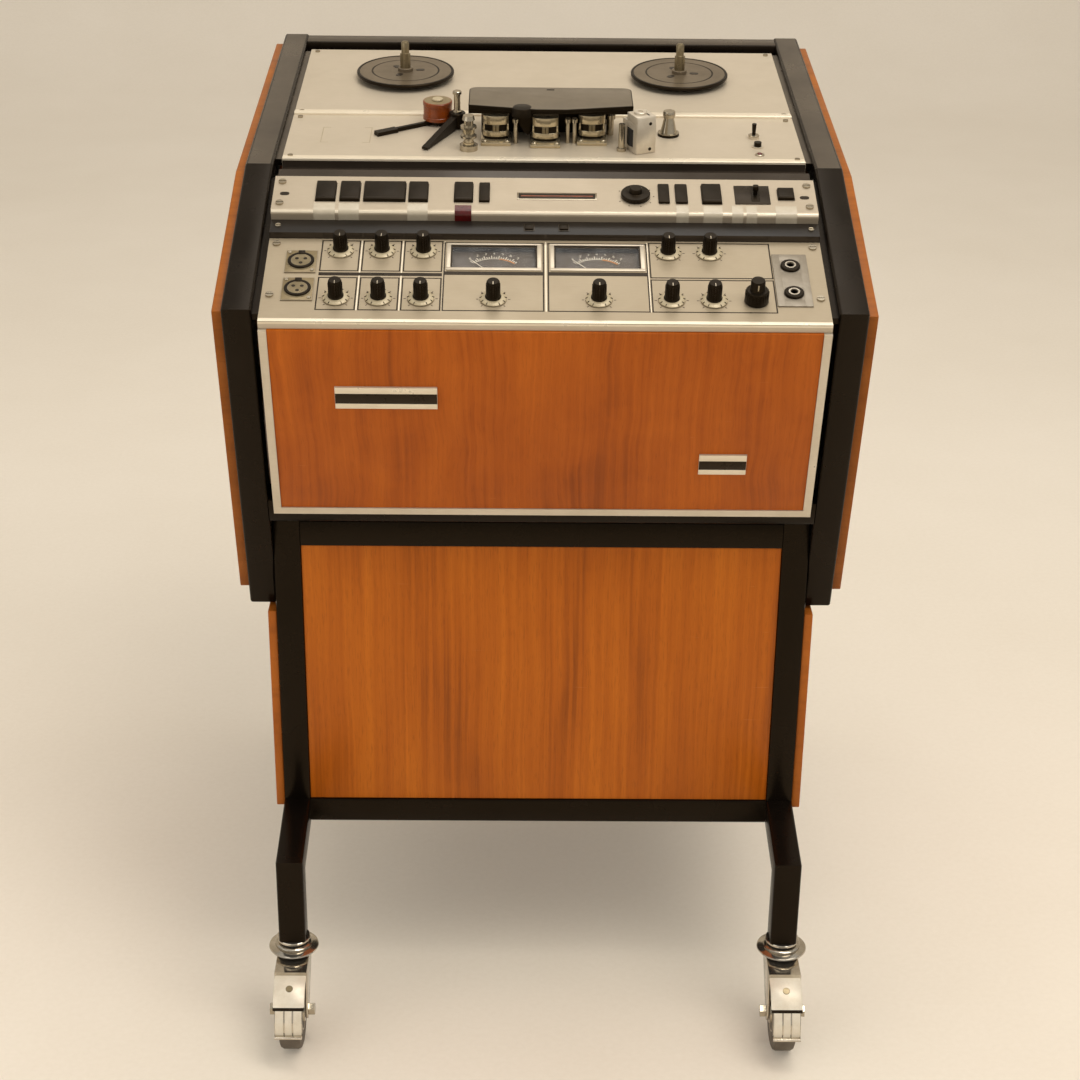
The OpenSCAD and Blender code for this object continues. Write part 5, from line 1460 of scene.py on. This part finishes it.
@dataclass
class Castor:
    """A swivelling castor: chrome head and fork, brake shield with its pale plate, and wheel."""

    height: float = 100.0
    wheel_r: float = 37.5
    wheel_w: float = 21.0
    trail: float = 33.0
    x: float = 234.6
    ys: Flat = (-260.469377, 302.130623)
    half: float = 12.9
    cheek: float = 2.5
    eye_r: float = 9.0
    plate_r: float = 15.0
    nut: Flat = (6.0, 6.0)
    shield_gap: float = 5.5
    rivet_at: float = 62.0

    def build(self) -> None:
        """Builds the four castors."""
        for end, y in zip(("front", "rear"), self.ys):
            for hand, x in (("left", -self.x), ("right", self.x)):
                self.fork(f"{end}_{hand}", x, y)
                self.wheel(f"{end}_{hand}", x, y - self.trail)

    def fork(self, name: str, x: float, y: float) -> None:
        """Builds a fork with its head, shield and axle nuts.

        Args:
            name: Which castor it is.
            x: Its swivel's place across.
            y: Its swivel's place front to back.
        """
        shape = Shape(f"castor_head_{name}")
        at = (x, y, 0.0)
        top = self.height - 0.4
        crown = 2 * self.wheel_r + 9
        shape.lathe([(5.4, top + 20), (5.4, top), (15.4, top), (16, top - 0.6), (16, top - 2.2),
                     (13.4, top - 2.6)], at, Finish.CHROME, 56)
        # Dark rubber band in the gap under the top chrome ring: painted shade for the shadow in this gap
        shape.lathe([(13.8, top - 2.5), (13.6, top - 5.4)], at, Finish.RUBBER, 56)
        shape.lathe([(13.2, top - 5.2), (16.8, top - 5.5), (17.8, top - 6.4), (17.8, top - 8),
                     (17, top - 8.6), (17.8, top - 9), (22, top - 9.4), (23.4, top - 10), (23.8, top - 11),
                     (23.2, top - 12), (18.6, top - 12.2)], at, Finish.CHROME, 56)
        # Dark rubber band between the chrome rings and the crown: painted shade for the shadow under the
        # rings
        shape.lathe([(19, top - 12), (18, crown - 0.4), (0, crown - 0.6)], at, Finish.RUBBER, 56)
        axle_y, axle_z = y - self.trail, self.wheel_r
        outer = self.half + self.cheek
        shape.box((x - outer, axle_y - 6, crown - 4), (x + outer, y + self.plate_r, crown), Finish.CHROME,
                  1.4, "Y")
        for side in (-1, 1):
            low = x + (self.half if side > 0 else -outer)
            eye = arc((axle_y, axle_z), (self.eye_r, self.eye_r), 180, 180, 8)
            outline = [(y + self.plate_r, crown - 1), (axle_y - 6, crown - 1), *eye,
                       (y + self.plate_r, crown - 9)]
            shape.prism(outline, low, low + self.cheek, Finish.CHROME, 0.6, across=True)
            nut_r, nut_h = self.nut
            ends = sorted((side * outer, side * (outer + nut_h)))
            shape.lathe([(nut_r, h) for h in ends], (x, axle_y, axle_z), Finish.STEEL, 6, "X")
            end = x + side * (outer + nut_h)
            shape.rod((end - side * 0.4, axle_y, axle_z), (end - side * 0.05, axle_y, axle_z), 4,
                      Finish.STEEL)
        shape.rod((x - outer, axle_y, axle_z), (x + outer, axle_y, axle_z), 3.9, Finish.STEEL)
        self.shield(shape, x, axle_y, axle_z)
        shape.done(f"fork_{name}", [f"fork_{name}"])

    def shield(self, shape: Shape, x: float, axle_y: float, axle_z: float) -> None:
        """Adds the brake shield, its pale plate, rivet and pedal.

        Args:
            shape: The fork's piece.
            x: Middle of the wheel across.
            axle_y: The axle's place front to back.
            axle_z: The axle's height.
        """
        r = self.wheel_r + self.shield_gap
        at = (x, axle_y, axle_z)
        ring = [(r - 2.4, -self.half), (r, -self.half), (r, self.half), (r - 2.4, self.half),
                (r - 2.4, -self.half)]
        shape.lathe(ring, at, Finish.CHROME, 24, "X", 90, 180)
        side = self.half + self.cheek - 0.6
        plate = [(r - 0.4, -side), (r + 0.3, 1 - side), (r + 0.3, side - 1), (r - 0.4, side),
                 (r - 0.4, -side)]
        shape.lathe(plate, at, Finish.ZINC, 18, "X", 52, 180)
        # Dark line at the pale plate's lower edge: a painted shadow
        shadow_line = [(r - 0.4, -side), (r + 0.1, -side), (r + 0.1, side), (r - 0.4, side), (r - 0.4, -side)]
        shape.lathe(shadow_line, at, Finish.ENAMEL, 3, "X", 4.5, 231.5)
        for low, high in ((-self.half + 0.3, -4.4), (-3.6, 3.6), (4.4, self.half - 0.3)):
            lobe = [(r - 0.4, low), (r + 0.6, low + 0.5), (r + 0.6, high - 0.5), (r - 0.4, high),
                    (r - 0.4, low)]
            shape.lathe(lobe, at, Finish.ZINC, 12, "X", 31, 236)
        turn = math.radians(self.rivet_at)
        spot = Vector((x, axle_y - r * math.cos(turn), axle_z + r * math.sin(turn)))
        out = Vector((0, -math.cos(turn), math.sin(turn)))
        shape.rod(tuple(spot - out), tuple(spot + out * 0.9), 3.4, Finish.BRASS)
        shape.box((x - self.half, axle_y - r - 4.9, axle_z), (x + self.half, axle_y - r + 2.4, axle_z + 2.4),
                  Finish.CHROME, 0.9, "X")

    def wheel(self, name: str, x: float, y: float) -> None:
        """Builds a wheel with its rounded tyre and steel hub.

        Args:
            name: Which castor it is.
            x: Its middle across.
            y: Its axle's place front to back.
        """
        shape = Shape(f"castor_wheel_{name}")
        at = (x, y, self.wheel_r)
        w, r = self.wheel_w / 2, self.wheel_r
        shape.lathe([(20, -w), (r - 4, -w), (r - 1.4, -w + 1), (r, -w + 3.6), (r, w - 3.6), (r - 1.4, w - 1),
                     (r - 4, w), (20, w)], at, Finish.TYRE, 64, "X")
        for side in (-1, 1):
            shape.lathe([(20.4, side * (w - 0.2)), (19.6, side * (w + 0.2)), (13, side * (w - 1.2)),
                         (12, side * (w - 0.8)), (11.6, side * 12.4), (4.2, side * 12.4)], at, Finish.STEEL,
                        48, "X")
        body = f"wheel_{name}"
        shape.done(body, [body])


@dataclass
class SmallTrim:
    """Small fixed trim: deck lamp, plate edges, bare badge outline, strip buttons, back screws."""

    lamp: Point = (200.6, 41.0, 0.0)
    button: Point = (199.0, 87.0, 0.0)
    strip_y: Flat = (113.2, 132.3)
    strip_buttons: Flat = (-14.0, 16.5)
    back_t: float = 10.0
    back_x: Point = (-238.0, 0.0, 238.0)
    back_z: Flat = (8.0, 340.0)
    badge_x: float = -186.5
    badge_half: float = 23.0

    def build(self) -> None:
        """Builds the trim of the deck, the black strip and the back."""
        deck = Shape("deck_trim", Where.DECK)
        deck.lathe([(0, 2.4), (1.6, 2.1), (2.6, 1.2), (2.8, 0)], self.lamp, Finish.RED, 24)
        deck.lathe([(2.7, 0), (4.4, 0), (4.4, 0.9), (3.9, 1.3), (2.7, 1.3)], self.lamp, Finish.STEEL, 28)
        deck.lathe([(3.4, 2.4), (5.2, 2.5), (5.2, 3.4), (4.6, 3.7), (3.4, 3.7)], self.button, Finish.STEEL,
                   28)
        deck.done()
        self.edges()
        strip = Shape("strip_buttons", Where.SLOPE)
        half = Rake.PANEL_W / 2 - 0.3
        strip.box((-half, self.strip_y[0], -0.6), (half, self.strip_y[1], 0.12), Finish.STRIP, 0.1)
        for x in self.strip_buttons:
            strip.box((x - 4.8, 117.9, -0.2), (x + 4.8, 127.5, 0.7), Finish.TUBE_TOP, 0.4)
            strip.box((x - 4.1, 118.6, 0.4), (x + 4.1, 126.8, 2.2), Finish.BLACK, 0.7)
        strip.done()
        back = Shape("back_screws")
        rear = Rake.loop()[0][0] - self.back_t
        low = Rake.loop()[3][1] + Rake.TUBE
        for x in self.back_x:
            for z in self.back_z:
                back.lathe([(0, 1.6), (2.4, 1.6), (3.4, 0.9), (3.6, -0.1)], (x, rear, low + z), Finish.STEEL,
                           24, "Y")
        back.done()

    def edges(self) -> None:
        """Builds painted highlights along the folded edges of the two deck plates and the outline of a bare
        badge.
        """
        half = Rake.PANEL_W / 2 - 0.4
        nose = Shape("deck_plate_edges", Where.DECK)
        # Bright strips on the plates' folded edges: painted highlights
        nose.prism([(142.9, 0), (142.9, 1.6), (143.7, 2.6), (145.3, 2.8), (159, 0.04)], -half, half,
                   Finish.NOSE, across=True)
        nose.prism([(20.2, -1.4), (20.2, 0.4), (20.9, 1.2), (22.2, 1.4), (31, 0.04)], -half, half,
                   Finish.NOSE, across=True)
        nose.box((-half, 20.15, -8), (half, 20.6, -1.5), Finish.FASCIA)
        nose.done()
        badge = Shape("bare_badge_outline", Where.DECK)
        for side in (-1, 1):
            x = self.badge_x + side * self.badge_half
            badge.box((x - 0.5, 66, -0.2), (x + 0.5, 108, 0.06), Finish.FAINT)
            for y in (66, 107):
                low, high = sorted((x, x - side * 7))
                badge.box((low, y, -0.2), (high, y + 1, 0.06), Finish.FAINT)
        badge.done()


class NodeDress:
    """Finishes of the solids that show as they are."""

    TABLE: dict[str, Finish] = {
        "front_trim": Finish.TRIM, "deck_plates": Finish.PANEL, "fascia_strips": Finish.FASCIA,
        "keyboard_panel": Finish.KEYS, "preamp_panel": Finish.PREAMP, "chassis": Finish.SHEET,
        "rear_cover": Finish.BACK, "panel_screws": Finish.STEEL, "drive_motors": Finish.MOTOR,
        "tape_guides": Finish.STEEL, "panel_sockets": Finish.JACK, "tension_arm": Finish.BLACK,
        "pinch_arm": Finish.BLOCK, "pinch_roller": Finish.RUBBER, "capstan": Finish.STEEL,
        "deck_toggle": Finish.BLACK, "deck_button": Finish.BLACK, "lever_switch": Finish.BLACK}

    def dress(self) -> None:
        """Gives each shown solid its material."""
        for node, finish in self.TABLE.items():
            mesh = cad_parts[node].data
            mesh.materials.clear()
            mesh.materials.append(finish.material())
            LOG.info("dressed %s", node)


@dataclass
class Studio:
    """Floor, backdrop, lamps, world and camera."""

    lens: float = 73.33
    pitch: float = 25.3
    yaw: float = -0.694
    roll: float = 0.676
    camera_at: Point = (-23.75, -2009.17, 1347.0)
    sensor: float = 36.0
    far: float = 50.0
    floor_colour: str = "e8dece"
    floor_fleck: str = "dfd4c2"
    floor_glow: float = 0.15
    floor_half: float = 20.0
    floor_front: float = -30.0
    sweep_y: float = 3.2
    sweep_r: float = 1.2
    wall_top: float = 7.0
    lamp_tint: Point = (1.0, 0.95, 0.88)
    room_tint: Point = (1.0, 0.96, 0.9)
    room_light: float = 0.55
    lamps: tuple[tuple[str, Point, Point, float, float], ...] = (
        ("key", (1300, -1150, 2900), (0, 0, 600), 1.5, 26.0),
        ("ceiling", (420, -640, 3300), (0, -150, 300), 0.7, 12.0),
        ("fill", (-1900, -1700, 1700), (0, 0, 500), 2.2, 13.0),
        ("top", (200, 300, 2900), (0, 0, 700), 2.0, 22.0))

    def build(self) -> None:
        """Builds the whole studio."""
        self.floor()
        self.light()
        self.camera()

    def floor(self) -> None:
        """Builds the pale floor with its upward sweep behind, in metres."""
        part = bmesh.new()
        bend = arc((self.sweep_y, self.sweep_r), (self.sweep_r, self.sweep_r), -90, 90, 10)
        side = [(self.floor_front, 0.0), *bend, (self.sweep_y + self.sweep_r, self.wall_top)]
        line = [part.verts.new((-self.floor_half, y, z)) for y, z in side]
        edges = [part.edges.new(pair) for pair in zip(line, line[1:])]
        grown = bmesh.ops.extrude_edge_only(part, edges=edges)
        bmesh.ops.translate(part, vec=(2 * self.floor_half, 0, 0), verts=grown_verts(grown))
        bmesh.ops.recalc_face_normals(part, faces=part.faces)
        mesh = bpy.data.meshes.new("floor_sweep")
        for face in part.faces:
            face.smooth = True
        part.to_mesh(mesh)
        part.free()
        paint = Coat("pale_floor_paint", self.floor_colour, self.floor_fleck, 0.6, 0.0, 0.05, 6.0, 700.0,
                     0.02).material()
        self.glow(paint)
        mesh.materials.append(paint)
        floor = bpy.data.objects.new("floor_sweep", mesh)
        bpy.context.scene.collection.objects.link(floor)

    def glow(self, paint: bpy.types.Material) -> None:
        """Lifts the floor towards a pale background for what the camera sees of it, directly or mirrored.

        Args:
            paint: The floor's material.
        """
        tree = paint.node_tree
        shader = next(n for n in tree.nodes if n.type == "BSDF_PRINCIPLED")
        rays = add_node(tree, "ShaderNodeLightPath")
        seen = add_node(tree, "ShaderNodeMath", {"operation": "ADD"},
                        links={0: rays.outputs["Is Camera Ray"], 1: rays.outputs["Is Glossy Ray"]})
        shown = add_node(tree, "ShaderNodeMath", {"operation": "ADD"},
                         links={0: seen.outputs["Value"], 1: rays.outputs["Is Transmission Ray"]})
        level = add_node(tree, "ShaderNodeMath", {"operation": "MULTIPLY", "use_clamp": True},
                         {1: self.floor_glow}, {0: shown.outputs["Value"]})
        shader.inputs["Emission Color"].default_value = linear(self.floor_colour)
        tree.links.new(level.outputs["Value"], shader.inputs["Emission Strength"])

    def light(self) -> None:
        """Builds the lamps and the world's soft light."""
        for name, at, aim, size, power in self.lamps:
            lamp = bpy.data.lights.new(name, "AREA")
            lamp.size = size
            lamp.energy = power
            lamp.color = self.lamp_tint
            holder = bpy.data.objects.new(name, lamp)
            holder.location = Vector(at) * MM
            holder.rotation_euler = (Vector(aim) - Vector(at)).to_track_quat("-Z", "Y").to_euler()
            bpy.context.scene.collection.objects.link(holder)
        world = bpy.data.worlds.new("soft_room")
        world.use_nodes = True
        tree = world.node_tree
        tree.nodes.clear()
        sky = add_node(tree, "ShaderNodeBackground",
                       values={"Color": (*self.room_tint, 1.0), "Strength": self.room_light})
        out = add_node(tree, "ShaderNodeOutputWorld")
        tree.links.new(sky.outputs["Background"], out.inputs["Surface"])
        bpy.context.scene.world = world

    def camera(self) -> None:
        """Builds the camera at the photograph's view."""
        eye = bpy.data.cameras.new("photo_view")
        eye.lens = self.lens
        eye.sensor_width = self.sensor
        eye.clip_end = self.far
        holder = bpy.data.objects.new("photo_view", eye)
        turn = (Matrix.Rotation(math.radians(self.yaw), 4, "Z")
                @ Matrix.Rotation(math.radians(90 - self.pitch), 4, "X")
                @ Matrix.Rotation(math.radians(self.roll), 4, "Z"))
        holder.matrix_world = Matrix.Translation(Vector(self.camera_at) * MM) @ turn
        bpy.context.scene.collection.objects.link(holder)
        bpy.context.scene.camera = holder


def main() -> None:
    """Builds every sub-assembly in order."""
    logging.basicConfig(level=logging.INFO, format="%(name)s: %(message)s")
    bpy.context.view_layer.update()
    NodeDress().dress()
    for work in (TubeWork(), WoodPanels(), ReelTables(), HeadBlock(), Keyboard(), Preamp(), Castor(),
                 SmallTrim(), Studio()):
        work.build()
    settings = bpy.context.scene.view_settings
    settings.view_transform = "Standard"


if __name__ == "__main__":
    main()
